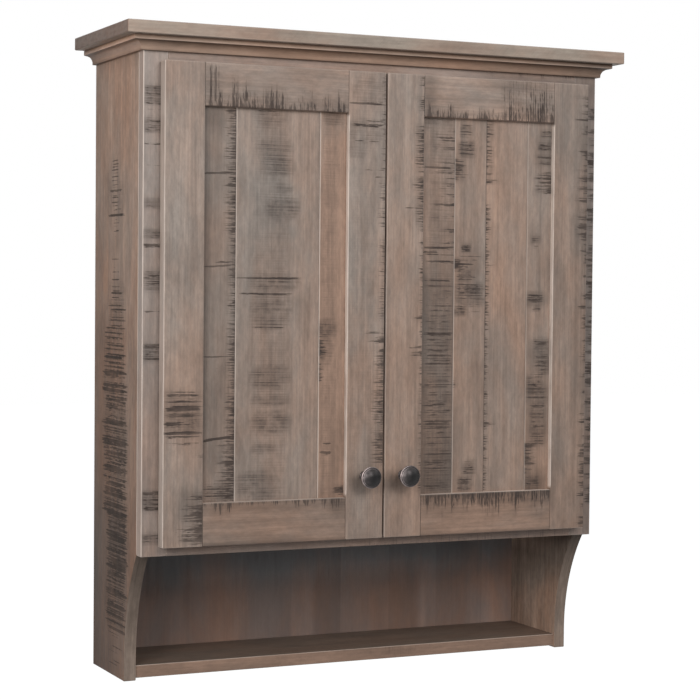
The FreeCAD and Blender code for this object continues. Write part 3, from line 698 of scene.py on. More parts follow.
class FittingTree(NodeBench):
    """A node tree that sets one small shape on every point of a mesh and turns it to an axis."""

    SIZES = {
        Fitting.SCREW: ("Head Radius", "Head Height", "Shank Radius", "Shank Length"),
        Fitting.ROD: ("Radius", "Length"),
        Fitting.BUMPER: ("Radius", "Height"),
    }
    # How many sides the shapes have, and their inner sizes as shares of the radius or height
    ROD_SIDES, BUMPER_SIDES, HEAD_SIDES, SHANK_SIDES = 32, 28, 32, 16
    BUMPER_RADII, BUMPER_HEIGHTS = (0.96, 0.62), (0.62, 0.38)
    HEAD_TOP, RECESS_LONG, RECESS_WIDE, RECESS_DEEP, SHANK_START = 0.74, 1.05, 0.22, 1.2, -0.98

    def __init__(self, fitting: Fitting) -> None:
        """Build the tree.

        Args:
            fitting: The shape to repeat.
        """
        super().__init__(bpy.data.node_groups.new(f"{fitting.value}_tree", "GeometryNodeTree"))
        kinds = {"Points": "Geometry", **dict.fromkeys(self.SIZES[fitting], "Float"), "Axis": "Vector",
                 "Finish": "Material"}
        self.sockets = {name: self.tree.interface.new_socket(name, in_out="INPUT", socket_type=f"NodeSocket{kind}")
                        for name, kind in kinds.items()}
        self.tree.interface.new_socket("Mesh", in_out="OUTPUT", socket_type="NodeSocketGeometry")
        self.given = self.add("NodeGroupInput").outputs
        shape = {Fitting.SCREW: self.screw, Fitting.ROD: self.rod, Fitting.BUMPER: self.bumper}[fitting]()
        turn = self.add("FunctionNodeAlignEulerToVector", {"Vector": self.given["Axis"]}, axis="Z")
        points = self.add("GeometryNodeMeshToPoints", {"Mesh": self.given["Points"]})
        laid = self.add("GeometryNodeInstanceOnPoints",
                        {"Points": points.outputs[0], "Instance": shape, "Rotation": turn.outputs[0]})
        real = self.add("GeometryNodeRealizeInstances", {0: laid.outputs[0]})
        faced = self.add("GeometryNodeSetMaterial", {0: real.outputs[0], "Material": self.given["Finish"]})
        self.add("NodeGroupOutput", {0: faced.outputs[0]})

    def part(self, given: object, share: float) -> bpy.types.NodeSocket:
        """Return a share of a size."""
        return self.sum("MULTIPLY", given, share)

    def lift(self, mesh: bpy.types.NodeSocket, height: object) -> bpy.types.NodeSocket:
        """Move a mesh along Z by a height."""
        up = self.add("ShaderNodeCombineXYZ", {"Z": height}).outputs[0]
        return self.add("GeometryNodeTransform", {"Geometry": mesh, "Translation": up}).outputs[0]

    def tube(self, radius: object, length: object, sides: int) -> bpy.types.NodeSocket:
        """Make a cylinder whose outer end is at Z 0 and which runs down from it."""
        made = self.add("GeometryNodeMeshCylinder", {"Vertices": sides, "Radius": radius, "Depth": length})
        return self.lift(made.outputs[0], self.part(length, -0.5))

    def rod(self) -> bpy.types.NodeSocket:
        """Make a plain rod, from Z 0 down."""
        return self.tube(self.given["Radius"], self.given["Length"], self.ROD_SIDES)

    def bumper(self) -> bpy.types.NodeSocket:
        """Make a low rubber button with a sloped rim, from Z 0 up.

        Returns:
            The button's mesh.
        """
        radius, height = self.given["Radius"], self.given["Height"]
        rim, top = (self.part(radius, share) for share in self.BUMPER_RADII)
        foot, cap = (self.part(height, share) for share in self.BUMPER_HEIGHTS)
        lower, upper = (self.add("GeometryNodeMeshCone", {
            "Vertices": self.BUMPER_SIDES, "Side Segments": 3, "Fill Segments": 2, "Radius Top": narrow,
            "Radius Bottom": wide, "Depth": tall}).outputs[0]
            for wide, narrow, tall in ((radius, rim, foot), (rim, top, cap)))
        return self.add("GeometryNodeJoinGeometry", {0: [self.lift(upper, foot), lower]}).outputs[0]

    def screw(self) -> bpy.types.NodeSocket:
        """Make a pan-head screw with a cross recess, its head's top at Z 0.

        Returns:
            The screw's mesh.
        """
        radius, height = self.given["Head Radius"], self.given["Head Height"]
        head = self.add("GeometryNodeMeshCone", {"Vertices": self.HEAD_SIDES, "Side Segments": 2,
                                                 "Radius Top": self.part(radius, self.HEAD_TOP),
                                                 "Radius Bottom": radius, "Depth": height}).outputs[0]
        head = self.lift(head, self.part(height, -1.0))
        sizes = [self.part(radius, share) for share in (self.RECESS_LONG, self.RECESS_WIDE)]
        deep = self.part(height, self.RECESS_DEEP)
        arms = []
        for long, wide in (sizes, sizes[::-1]):
            size = self.add("ShaderNodeCombineXYZ", {"X": long, "Y": wide, "Z": deep}).outputs[0]
            arms.append(self.add("GeometryNodeMeshCube", {"Size": size}).outputs[0])
        cut = self.add("GeometryNodeMeshBoolean", {0: head, 1: arms}, operation="DIFFERENCE").outputs[0]
        shank = self.tube(self.given["Shank Radius"], self.given["Shank Length"], self.SHANK_SIDES)
        shank = self.lift(shank, self.part(height, self.SHANK_START))
        return self.add("GeometryNodeJoinGeometry", {0: [cut, shank]}).outputs[0]

    def make(self, name: str, spots: list[Vector], axis: Vector, material: bpy.types.Material,
             **sizes: float) -> bpy.types.Object:
        """Set the shape on some points and turn the result into a plain mesh.

        Args:
            name: The piece's name.
            spots: Where the shapes sit, in metres.
            axis: Where their Z points.
            material: Their material.
            sizes: The tree's sizes in metres, with underscores for spaces.

        Returns:
            The new object, linked to the scene at the origin.
        """
        seed = bpy.data.meshes.new(f"{name}_spots")
        seed.from_pydata([tuple(spot) for spot in spots], [], [])
        holder = bpy.data.objects.new(f"{name}_holder", seed)
        bpy.context.scene.collection.objects.link(holder)
        modifier = holder.modifiers.new("fittings", "NODES")
        modifier.node_group = self.tree
        for key, size in sizes.items():
            modifier[self.sockets[key.replace("_", " ").title()].identifier] = float(size)
        modifier[self.sockets["Axis"].identifier] = tuple(axis)
        modifier[self.sockets["Finish"].identifier] = material
        return plain(holder, name)


def plain(holder: bpy.types.Object, name: str) -> bpy.types.Object:
    """Turn an object with modifiers into a new object with a plain mesh, and remove the first.

    Args:
        holder: The object with modifiers.
        name: The new object's name.

    Returns:
        The new object.
    """
    graph = bpy.context.evaluated_depsgraph_get()
    mesh = bpy.data.meshes.new_from_object(holder.evaluated_get(graph))
    mesh.name = name
    holder.modifiers.clear()
    bpy.data.objects.remove(holder)
    made = bpy.data.objects.new(name, mesh)
    bpy.context.scene.collection.objects.link(made)
    smooth(mesh, angle=32.0)
    return made


TREES = {fitting: FittingTree(fitting) for fitting in Fitting}


def bored(piece: bpy.types.Object, spots: list[Vector], way: Vector, radius: float,
          depth: float) -> bpy.types.Object:
    """Bore round holes in a piece.

    Args:
        piece: The piece to bore.
        spots: Where the cutters start, a little in front of the face, in metres.
        way: The direction out of the face.
        radius: The holes' radius in millimetres.
        depth: Their depth in millimetres.

    Returns:
        The bored piece, with the same name.
    """
    name = piece.name
    cutter = TREES[Fitting.ROD].make(f"{name}_cutter", spots, way, piece.data.materials[0], radius=radius * MM,
                                     length=(depth + OVERCUT) * MM)
    cut = piece.modifiers.new("bore", "BOOLEAN")
    cut.object, cut.operation, cut.solver = cutter, "DIFFERENCE", "EXACT"
    piece.name = f"{name}_blank"
    made = plain(piece, name)
    bpy.data.objects.remove(cutter)
    return made


@dataclass
class Board:
    """A board with eased edges and a fine grid that carries its saw marks."""

    node: str
    body: str
    finish: SawnMaple
    run: Axis
    shown: Axis = Axis.Y
    shown_low: bool = True
    marks: tuple[SawMark, ...] = ()

    # How warm and how light the stain is, and how both change with height, across, at the ends and out of sight; the
    # change of lightness with height and across is painted light and shade, and the cooled bands of height are painted
    # shade
    blush: float = 0.5
    blush_low: float = 0.25
    tone: float = 1.0
    stray: float = 0.35
    fall: float = 0.08
    fall_across: float = 0.0
    fall_low: float = 0.0
    end_tone: float = 1.0
    end_fall: float = 0.0
    end_blush: float = 0.0
    edge_tone: float = 1.0
    hidden_blush: float = 0.0
    hidden_fall: float = 0.08
    chill: tuple[Span, ...] = ((0.0, 0.0),)

    # How pale the edges of the shown face are, paler from use and with painted highlights, and from where to where
    # along the board
    pale_low: float = 0.2
    pale_high: float = 0.2
    pale_ends: float = 0.2
    pale_wall: float = 0.9
    pale_corner: float = 1.0
    pale_next: float = 0.2
    pale_span: Span = (-1000.0, 1000.0)

    # The length that shows if not the whole, the eased edges, and the grid's lines, in millimetres
    between: Span | None = None
    ease: float = 1.1
    pitch: float = 4.5
    seed: int = 0
    side_pitch: float = 18.0
    inset: float = 1.2
    least_gap: float = 0.012
    shown_depth: float = 2.0
    fall_most: float = 2.5
    end_squeeze: float = 9.0

    # Stray marks on the other faces: how many in a metre, how long, how strong, from which level and how hazy
    STRAYS, STRAY_LENGTH, STRAY_GAIN, STRAY_FLOOR, STRAY_HAZE = 9.0, 0.45, 1.9, 0.25, 0.6
    # What sets the noises and maps of boards and faces apart
    SEED_STEP, FACE_SHIFT, BOARD_SHIFT = 3.7, (1.7, 2.3), (3.1, 1.9)

    def corners(self) -> tuple[np.ndarray, np.ndarray]:
        """Find the board's corners, less the ends that other boards hide.

        Returns:
            The lowest and the highest corner, in millimetres.
        """
        low, high = (np.array(corner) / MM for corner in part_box(self.node))
        if self.between:
            low[self.run.value], high[self.run.value] = self.between
        return low, high

    def across(self) -> int:
        """Return the index of the axis across the grain on the shown face."""
        return 3 - self.run.value - self.shown.value

    def extra_lines(self) -> dict[int, list[float]]:
        """Return grid lines that a special board needs, by axis; a plain board needs none."""
        return {}

    def lines(self) -> list[np.ndarray]:
        """Place the grid lines along each axis, in millimetres.

        Returns:
            Three sorted arrays.
        """
        low, high = self.corners()
        out = []
        for axis in range(3):
            bottom, top = low[axis] + self.ease, high[axis] - self.ease
            inner_low, inner_high = bottom + self.inset, top - self.inset
            pitch = self.side_pitch if axis == self.shown.value else self.pitch
            count = max(2, int(math.ceil((inner_high - inner_low) / pitch)) + 1)
            found = list(np.linspace(inner_low, inner_high, count)) if inner_high > inner_low else []
            if axis == self.run.value:
                rows = [row for mark in self.marks for row in mark.rows()]
                found += [row for row in rows if inner_low < row < inner_high]
            found = sorted(found + self.extra_lines().get(axis, []))
            kept = [low[axis], bottom]
            for line in found:
                if line - kept[-1] > self.least_gap and line < top - self.least_gap:
                    kept.append(line)
            out.append(np.array(kept + [top, high[axis]]))
        return out

    def shape(self, points: np.ndarray) -> np.ndarray:
        """Give a special board its outline; a plain board stays as it is.

        Args:
            points: The grid's points, in millimetres.

        Returns:
            The shaped points.
        """
        return points

    def bites(self, points: np.ndarray, on_shown: np.ndarray) -> tuple[np.ndarray, np.ndarray, np.ndarray]:
        """Work out the depth of saw marks at the grid's points.

        Args:
            points: The points, in millimetres.
            on_shown: Whether each point is on the shown face.

        Returns:
            The depth of crisp marks, of soft haze and of plain darkening, which is stain in places and painted shade in
            others, at each point.
        """
        along, across = points[:, self.run.value], points[:, self.across()]
        depths = np.zeros((3, len(points)))
        for mark in self.marks:
            depths = np.maximum(depths, np.outer(mark.kind.value, mark.bite(across, along)))
        where = points * MM * self.STRAYS + self.seed * self.SEED_STEP
        where[:, self.run.value] *= self.STRAY_LENGTH
        strays = np.array([noise.noise(Vector(spot)) for spot in where])
        strays = np.clip(strays * self.STRAY_GAIN - self.STRAY_FLOOR, 0.0, 1.0) * self.stray
        elsewhere = (strays, strays * self.STRAY_HAZE, np.zeros(len(points)))
        crisp, soft, dark = (np.where(on_shown, here, there) for here, there in zip(depths, elsewhere))
        return crisp, soft, dark

    def draft(self) -> Draft:
        """Draw the board's grid with its map and what its points carry.

        Returns:
            The draft.
        """
        lines = self.lines()
        counts = [len(line) for line in lines]
        index = -np.ones(counts, int)
        grid = np.indices(counts).reshape(3, -1).T
        outside = np.any((grid == 0) | (grid == np.array(counts) - 1), axis=1)
        grid = grid[outside]
        index[tuple(grid.T)] = np.arange(len(grid))
        flat = np.stack([lines[axis][grid[:, axis]] for axis in range(3)], axis=1)
        low, high = self.corners()
        core = np.clip(flat, low + self.ease, high - self.ease)
        reach = flat - core
        far = np.linalg.norm(reach, axis=1, keepdims=True)
        points = core + np.where(far > 0, reach / np.maximum(far, 1e-9) * self.ease, 0.0)
        rounded = np.sum(np.abs(reach) > 1e-9, axis=1)
        shaped = self.shape(points)
        faces, corners_uv = self.skin(index, counts, self.shape(flat))
        shown = self.shown.value
        face = 0 if self.shown_low else counts[shown] - 1
        behind = np.abs(flat[:, shown] - lines[shown][face])
        on_shown = (grid[:, shown] == face) | ((rounded >= 2) & (behind < self.shown_depth))
        wear = self.wear(grid, counts, flat, rounded >= 2)
        crisp, soft, dark = self.bites(shaped, on_shown)
        height = shaped[:, 2] * MM
        across, run = self.across(), self.run.value
        share = (flat[:, across] - low[across]) / (high[across] - low[across])
        ends, edges = (np.isin(grid[:, axis], (0, counts[axis] - 1)) for axis in (run, across))
        sunk = behind / (high[shown] - low[shown])
        # Painted light and shade: the lightness changes with height and across the shown face, and with height on the
        # other faces.
        shade_across_here = self.fall_across * np.clip(1.0 - self.fall_low * height, 0.0, self.fall_most)
        fall = np.where(on_shown, (1.0 + self.fall * height) * (1.0 - shade_across_here * share),
                        1.0 + self.hidden_fall * height)
        edge = np.where(ends, self.end_tone * (1.0 - self.end_fall * sunk), np.where(edges, self.edge_tone, 1.0))
        tone = self.tone * fall * (1.0 - dark) * edge
        blush = self.blush - self.blush_low * height + np.where(ends, self.end_blush, 0.0)
        # Painted shade: a cooler hue in the bands of height that lie in shade.
        blush = blush + np.where(on_shown, 0.0, self.hidden_blush) - np.interp(shaped[:, 2], *zip(*self.chill))
        carried = {"saw": crisp, "haze": soft, "wear": wear, "blush": blush, "tone": tone}
        return Draft(shaped * MM, faces, corners_uv, carried)

    def wear(self, grid: np.ndarray, counts: list[int], flat: np.ndarray, corner: np.ndarray) -> np.ndarray:
        """Work out how pale the stain is along the edges of the shown face, from use and as painted highlight.

        Args:
            grid: The grid place of each point.
            counts: The number of lines along each axis.
            flat: The points, in millimetres.
            corner: Whether each point is on an eased edge.

        Returns:
            The paleness at each point.
        """
        out = np.zeros(len(flat))
        along = flat[:, self.run.value]
        span = (along > self.pale_span[0]) & (along < self.pale_span[1])
        across = self.across()
        for axis, end, amount in ((across, 0, self.pale_low), (across, 1, self.pale_high),
                                  (self.run.value, 0, self.pale_ends), (self.run.value, 1, self.pale_ends)):
            last = counts[axis] - 1
            edge, beside = (grid[:, axis] == (last - step if end else step) for step in (0, 1))
            held = span if axis == across else np.ones(len(flat), bool)
            share = np.where(corner, self.pale_corner, self.pale_wall)
            out = np.maximum(out, np.where(edge & held, amount * share, 0.0))
            out = np.maximum(out, np.where(beside & held, amount * self.pale_corner * self.pale_next, 0.0))
        return out

    def skin(self, index: np.ndarray, counts: list[int],
             flat: np.ndarray) -> tuple[list[tuple[int, ...]], np.ndarray]:
        """List the faces of the grid's six sides, facing outwards, and map them.

        Args:
            index: The number of the point at each place of the grid.
            counts: The number of lines along each axis.
            flat: The points before their edges are eased, in millimetres.

        Returns:
            The faces and the map of their corners, in metres.
        """
        quads, maps = [], []
        run = self.run.value
        for axis in range(3):
            first, second = (axis + 1) % 3, (axis + 2) % 3
            for end in (0, counts[axis] - 1):
                sheet = np.moveaxis(index, axis, 0)[end]
                if second < first:
                    sheet = sheet.T
                a, b = sheet[:-1, :-1], sheet[1:, :-1]
                c, d = sheet[1:, 1:], sheet[:-1, 1:]
                quad = np.stack([a, b, c, d] if end else [a, d, c, b], axis=-1).reshape(-1, 4)
                quads.append(quad)
                spots = flat[quad.ravel()] * MM
                if axis == run:
                    cut = np.stack([spots[:, first], spots[:, second] * self.end_squeeze], axis=1)
                else:
                    other = 3 - axis - run
                    cut = np.stack([spots[:, other], spots[:, run]], axis=1)
                shift = np.array(self.FACE_SHIFT) * (axis * 2 + (end > 0)) + np.array(self.BOARD_SHIFT) * self.seed
                maps.append(cut + shift)
        return [tuple(quad) for quad in np.concatenate(quads).tolist()], np.concatenate(maps)

    def build(self) -> bpy.types.Object:
        """Build the board and set it in place of its node.

        Returns:
            The piece.
        """
        made = self.draft().object(f"{self.node}_board", shared(self.finish))
        return settle(self.work(made), self.body, self.finish.slot, self.node)

    def work(self, piece: bpy.types.Object) -> bpy.types.Object:
        """Bore or cut the board; a plain board needs nothing."""
        return piece


@dataclass
class SidePanel(Board):
    """A side of the case, scooped in below the doors, rabbeted for the back and bored for shelf pins."""

    frame_bottom: float = -381.8
    scoop_end: float = -546.8
    scoop_radius: float = 273.24
    front: float = -206.35
    lower_front: float = -150.9
    outside: float = 381.0
    thick: float = 19.05
    rabbet: float = 9.5
    rabbet_depth: float = 6.35
    pin_radius: float = 2.55
    pin_depth: float = 9.5
    pin_rows: tuple[float, ...] = (-157.3, -125.3, -93.3, 72.7, 104.7, 136.7)
    pin_columns: tuple[float, ...] = (-168.35, -44.35)
    bend_end: float = -40.0
    bend_fade: float = 25.0
    # Painted shade on the scooped edge, darker and cooler towards its top, and painted light and shade on the bay's
    # inner wall by height, in front and at the back
    scoop_tone: Span = (0.88, -0.46)
    scoop_blush: Span = (-0.1, -0.5)
    bay_levels: tuple[float, ...] = (-545.0, -520.0, -490.0, -460.0, -430.0, -410.0)
    bay_tones: tuple[tuple[float, ...], ...] = ((1.54, 1.48, 1.30, 0.84, 0.62, 0.62),
                                                (0.80, 0.80, 0.74, 0.92, 1.14, 2.20))
    bay_blushes: tuple[tuple[float, ...], ...] = ((0.35, 0.38, 0.45, 0.30, -0.1, -0.8),
                                                  (0.25, 0.20, 0.0, -0.8, -0.8, -0.8))

    def extra_lines(self) -> dict[int, list[float]]:
        """Return the lines at the scoop's ends and at the rabbet's shoulder."""
        shoulder = -self.rabbet_depth
        return {1: [shoulder - 0.02, shoulder], 2: [self.frame_bottom - 0.4, self.frame_bottom, self.scoop_end]}

    def edge_at(self, height: np.ndarray) -> np.ndarray:
        """Return the Y of the front edge at some heights.

        Args:
            height: Heights in millimetres.

        Returns:
            The front edge's Y in millimetres.
        """
        rise = np.clip(height - self.scoop_end, 0.0, self.frame_bottom - self.scoop_end)
        curve = self.lower_front - self.scoop_radius + np.sqrt(self.scoop_radius ** 2 - rise ** 2)
        return np.where(height >= self.frame_bottom - 0.01, self.front, curve)

    def shape(self, points: np.ndarray) -> np.ndarray:
        """Scoop the lower front and cut the rabbet at the back.

        Args:
            points: The grid's points, in millimetres.

        Returns:
            The shaped points.
        """
        out = points.copy()
        edge = self.edge_at(points[:, 2])
        share = (points[:, 1] - self.front) / -self.front
        bent = edge + share * -edge
        free = np.clip((points[:, 1] - self.bend_end) / self.bend_fade, 0.0, 1.0)
        out[:, 1] = bent * (1.0 - free) + points[:, 1] * free
        back = points[:, 1] > -self.rabbet_depth - 0.005
        sign, far = np.sign(points[:, 0]), np.abs(points[:, 0])
        squeezed = self.outside - (self.outside - far) * (1.0 - self.rabbet / self.thick)
        out[:, 0] = np.where(back, sign * squeezed, points[:, 0])
        return out

    def draft(self) -> Draft:
        """Draw the panel, paint light and shade on the open bay's wall by height and depth, and paint shade on the
        scooped edge, darker and cooler towards its top.

        Returns:
            The draft.
        """
        made = super().draft()
        wide, deep, height = made.points.T / MM
        below = height < self.frame_bottom
        scoop = below & (deep < self.edge_at(height) + NEAR)
        climb = np.clip((height - self.scoop_end) / (self.frame_bottom - self.scoop_end), 0.0, 1.0)
        inner = below & (np.abs(wide) < self.outside - self.thick + NEAR)
        depth = np.clip(1.0 - deep / self.lower_front, 0.0, 1.0)
        for name, rows, (foot, rise) in (("tone", self.bay_tones, self.scoop_tone),
                                         ("blush", self.bay_blushes, self.scoop_blush)):
            ahead, behind = (np.interp(height, self.bay_levels, row) for row in rows)
            bay = np.where(inner, ahead + (behind - ahead) * depth, made.carried[name])
            made.carried[name] = np.where(scoop, foot + rise * climb, bay)
        return made

    def work(self, piece: bpy.types.Object) -> bpy.types.Object:
        """Bore the two columns of shelf-pin holes.

        Args:
            piece: The panel's blank.

        Returns:
            The bored panel.
        """
        sign = -1.0 if self.node.startswith("left") else 1.0
        start = sign * (self.outside - self.thick - OVERCUT)
        spots = [Vector((start, y, z)) * MM for y in self.pin_columns for z in self.pin_rows]
        return bored(piece, spots, Vector((-sign, 0, 0)), self.pin_radius, self.pin_depth)


@dataclass
class HingeStile(Board):
    """A door stile with the round bores that take the hinge cups."""

    cup_radius: float = 17.5
    cup_depth: float = 14.15
    cup_inset: float = 20.5
    levels: tuple[float, ...] = (-278.5, 249.95)

    def work(self, piece: bpy.types.Object) -> bpy.types.Object:
        """Bore the cup holes in the back.

        Args:
            piece: The stile's blank.

        Returns:
            The bored stile.
        """
        low, high = self.corners()
        middle = low[0] + self.cup_inset if low[0] < 0 else high[0] - self.cup_inset
        spots = [Vector((middle, high[1] + OVERCUT, level)) * MM for level in self.levels]
        return bored(piece, spots, Vector((0, 1, 0)), self.cup_radius, self.cup_depth)


@dataclass
class Door:
    """A door: two stiles, two rails, planks, knob, bumpers and hinge fittings."""

    side: Side
    seed: int
    hinge_marks: tuple[SawMark, ...]
    lock_marks: tuple[SawMark, ...]
    top_marks: tuple[SawMark, ...]
    bottom_marks: tuple[SawMark, ...]
    plank_marks: tuple[tuple[SawMark, ...], ...]
    blushes: dict[str, float]
    tones: dict[str, float]
    plank_blush: tuple[float, ...]
    plank_tone: tuple[float, ...]
    plank_pale: tuple[float, ...]
    bottom_pale: float
    panel: Span = (-302.0, 273.5)

    @property
    def body(self) -> str:
        """The CAD body of the door."""
        return f"{self.side.word}_door"

    def node(self, name: str) -> str:
        """Return the full name of one of the door's nodes."""
        return f"{self.body}_{name}"

    def build(self) -> None:
        """Build every piece of the door."""
        self.stiles()
        self.rails()
        for number, group in enumerate(self.plank_marks):
            Board(self.node(f"plank_{number + 1}"), self.body, PLANK_WOOD, Axis.Z, marks=group, ease=0.8,
                  blush=self.plank_blush[number], tone=self.plank_tone[number], seed=self.seed + 4 + number,
                  pale_low=self.plank_pale[number], pale_high=0.0, pale_next=0.8, edge_tone=0.55).build()
        Knob(self.side).build()
        self.fittings()

    def stiles(self) -> None:
        """Build the two stiles, each pale on its left edge, partly from use and partly as a painted highlight."""
        worn = {"pale_low": 1.0, "pale_high": 0.1, "pale_ends": 0.25}
        by_panel = {**worn, "pale_span": self.panel}
        left = self.side is Side.LEFT
        outer, inner = ({**worn, "pale_wall": 0.55}, by_panel) if left else (by_panel, {**worn, "pale_low": 0.3})
        for number, (name, kind, group, pale) in enumerate((("hinge", HingeStile, self.hinge_marks, outer),
                                                            ("lock", Board, self.lock_marks, inner))):
            kind(self.node(f"{name}_stile"), self.body, DOOR_WOOD, Axis.Z, marks=group, blush=self.blushes[name],
                 tone=self.tones[name], seed=self.seed + number, **pale).build()

    def rails(self) -> None:
        """Build the two rails, shown between the stiles."""
        first, second = sorted((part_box(self.node(f"{name}_stile")) for name in ("hinge", "lock")),
                               key=lambda pair: pair[0].x)
        between = (first[1].x / MM, second[0].x / MM)
        # The rails' pale top edges are partly from use and partly painted highlight.
        for number, (name, group, pale, corner) in enumerate((("top", self.top_marks, 0.3, 1.0),
                                                              ("bottom", self.bottom_marks, self.bottom_pale, 0.35))):
            Board(self.node(f"{name}_rail"), self.body, DOOR_WOOD, Axis.X, marks=group, blush=self.blushes[name],
                  tone=self.tones[name], seed=self.seed + 2 + number, pale_low=0.0, end_tone=0.45, pale_high=pale,
                  pale_corner=corner, pale_ends=0.0, between=between).build()

    def fittings(self) -> None:
        """Build the bumpers and screws and dress the hinge's cups and pins."""
        spots, (radius, height) = fitting_spots(self.node("bumpers"), Axis.Y, -1.0)
        soft = TREES[Fitting.BUMPER].make(f"{self.body}_bumper_buttons", spots, Vector((0, 1, 0)),
                                          shared(RUBBER), radius=radius, height=height)
        settle(soft, self.body, RUBBER.slot, self.node("bumpers"))
        screws(self.node("hinge_cup_screws"), self.body, Axis.Y, 1.0)
        screws(self.node("knob_screw"), self.body, Axis.Y, 1.0, head=2.2, shank=2.0)
        for name in ("hinge_cups", "hinge_pins"):
            dress_node(self.node(name), shared(NICKEL))


def fitting_spots(node: str, axis: Axis, end: float) -> tuple[list[Vector], Span]:
    """Find where a node's small parts start along an axis.

    Args:
        node: The CAD node.
        axis: The axis that the parts lie along.
        end: 1 for the high end of each part, -1 for the low end.

    Returns:
        The middle of each part's end, and the parts' radius and length, in metres.
    """
    spots, parts = [], loose_parts(node)
    for low, high in parts:
        spot = (low + high) / 2
        spot[axis.value] = high[axis.value] if end > 0 else low[axis.value]
        spots.append(spot)
    size = parts[0][1] - parts[0][0]
    other = (axis.value + 2) % 3
    return spots, (size[other] / 2, size[axis.value])


def screws(node: str, body: str, axis: Axis, sign: float, head: float = 1.8, shank: float = 1.75) -> None:
    """Build a node's cross-head screws.

    Args:
        node: The CAD node that they stand for.
        body: The CAD body that they move with.
        axis: The axis that they lie along.
        sign: 1 if their heads are at the high end, -1 if at the low end.
        head: The height of their heads, in millimetres.
        shank: The radius of their shanks, in millimetres.
    """
    spots, (radius, length) = fitting_spots(node, axis, sign)
    way = Vector((0, 0, 0))
    way[axis.value] = sign
    made = TREES[Fitting.SCREW].make(f"{node}_cross_head", spots, way, shared(NICKEL), head_radius=radius,
                                     head_height=head * MM, shank_radius=shank * MM, shank_length=length - head * MM)
    settle(made, body, NICKEL.slot, node)


def dress_node(node: str, material: bpy.types.Material) -> None:
    """Give a CAD node a material in place of its own.

    Args:
        node: The CAD node.
        material: The material.
    """
    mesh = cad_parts[node].data
    mesh.materials.clear()
    mesh.materials.append(material)
    LOG.info("%s dressed as %s", node, material.name)


@dataclass
class Knob:
    """A turned mushroom knob on a flared foot."""

    side: Side
    radius: float = 16.6
    foot_radius: float = 8.5
    foot: float = 2.5
    neck_radius: float = 6.0
    neck: float = 12.0
    rim_start: float = 23.2
    rim: float = 2.6
    crown: float = 6.0
    # The lit side in degrees, the share of the rim's paleness kept away from it, and the painted highlight on the face
    rub_side: float = 162.0
    rub_least: float = 0.25
    face_rub: float = 0.26
    turns: int = 72

    def profile(self) -> list[tuple[float, float, float]]:
        """Draw the knob's outline from its foot to the middle of its face.

        Returns:
            Radius and height of each point, in millimetres, and its paleness, from handling and as painted highlight.
        """
        line = [(0.0, 0.0, 0.0), (self.foot_radius - 0.5, 0.0, 0.0), (self.foot_radius - 0.1, 0.2, 0.3),
                (self.foot_radius, 0.7, 0.5), (self.foot_radius, self.foot - 0.5, 0.5),
                (self.foot_radius - 0.4, self.foot - 0.05, 0.3), (self.foot_radius - 1.3, self.foot + 0.5, 0.0),
                (self.neck_radius + 0.2, self.neck - 3.0, 0.0)]
        for step in np.linspace(0.0, 1.0, 12):
            turn = step * math.pi / 2
            line.append((self.neck_radius + (self.radius - 0.6 - self.neck_radius) * (1 - math.cos(turn)),
                         self.neck + (self.rim_start - 0.2 - self.neck) * math.sin(turn), 0.0))
        rim_top = self.rim_start + self.rim
        line += [(self.radius - 0.15, self.rim_start + 0.2, 0.5), (self.radius, self.rim_start + 0.7, 0.9),
                 (self.radius, rim_top - 0.7, 0.9), (self.radius - 0.25, rim_top - 0.1, 1.0),
                 (self.radius - 0.8, rim_top + 0.25, 0.8), (self.radius - 1.5, rim_top + 0.35, 0.25)]
        line += [(self.radius - 2.0, rim_top + 0.1, 0.0), (self.radius - 2.5, rim_top + 0.1, 0.0),
                 (self.radius - 2.8, rim_top + 0.5, 0.5), (self.radius - 3.2, rim_top + 0.85, 0.3)]
        start = self.radius - 3.8
        for step in np.linspace(0.0, 1.0, 12):
            out = start * (1.0 - step)
            line.append((out, rim_top + 1.1 + (self.crown - 1.1) * (1.0 - (out / start) ** 2), 0.0))
        return line

    def build(self) -> None:
        """Turn the profile on the door's face."""
        node = f"{self.side.word}_door_knob"
        low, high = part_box(node)
        middle = (low + high) / 2
        face = high.y
        line = self.profile()
        points, wear = [], []
        for out, up, worn in line:
            count = 1 if out == 0.0 else self.turns
            for turn in range(count):
                angle = 2 * math.pi * turn / self.turns
                points.append((middle.x + out * MM * math.cos(angle), face - up * MM,
                               middle.z + out * MM * math.sin(angle)))
                # Painted highlight: the rim is palest and the face lighter towards the lit side.
                lean = (0.5 + 0.5 * math.cos(angle - math.radians(self.rub_side))) ** 2
                on_face = lean * out / self.radius if up > self.rim_start else 0.0
                rim_and_highlight = worn * (self.rub_least + (1.0 - self.rub_least) * lean)
                wear.append(rim_and_highlight + self.face_rub * on_face)
        rings, start = [], 0
        for out, _, _ in line:
            count = 1 if out == 0.0 else self.turns
            rings.append([start + turn % count for turn in range(self.turns + 1)])
            start += count
        faces = []
        for lower, upper in zip(rings, rings[1:]):
            for turn in range(self.turns):
                loop = (lower[turn], lower[turn + 1], upper[turn + 1], upper[turn])
                faces.append(tuple(dict.fromkeys(loop)))
        corners = sum(len(one) for one in faces)
        draft = Draft(np.array(points), faces, np.zeros((corners, 2)), {"wear": np.array(wear)})
        made = draft.object(f"{node}_turned", shared(BRONZE))
        settle(made, f"{self.side.word}_door", BRONZE.slot, node)


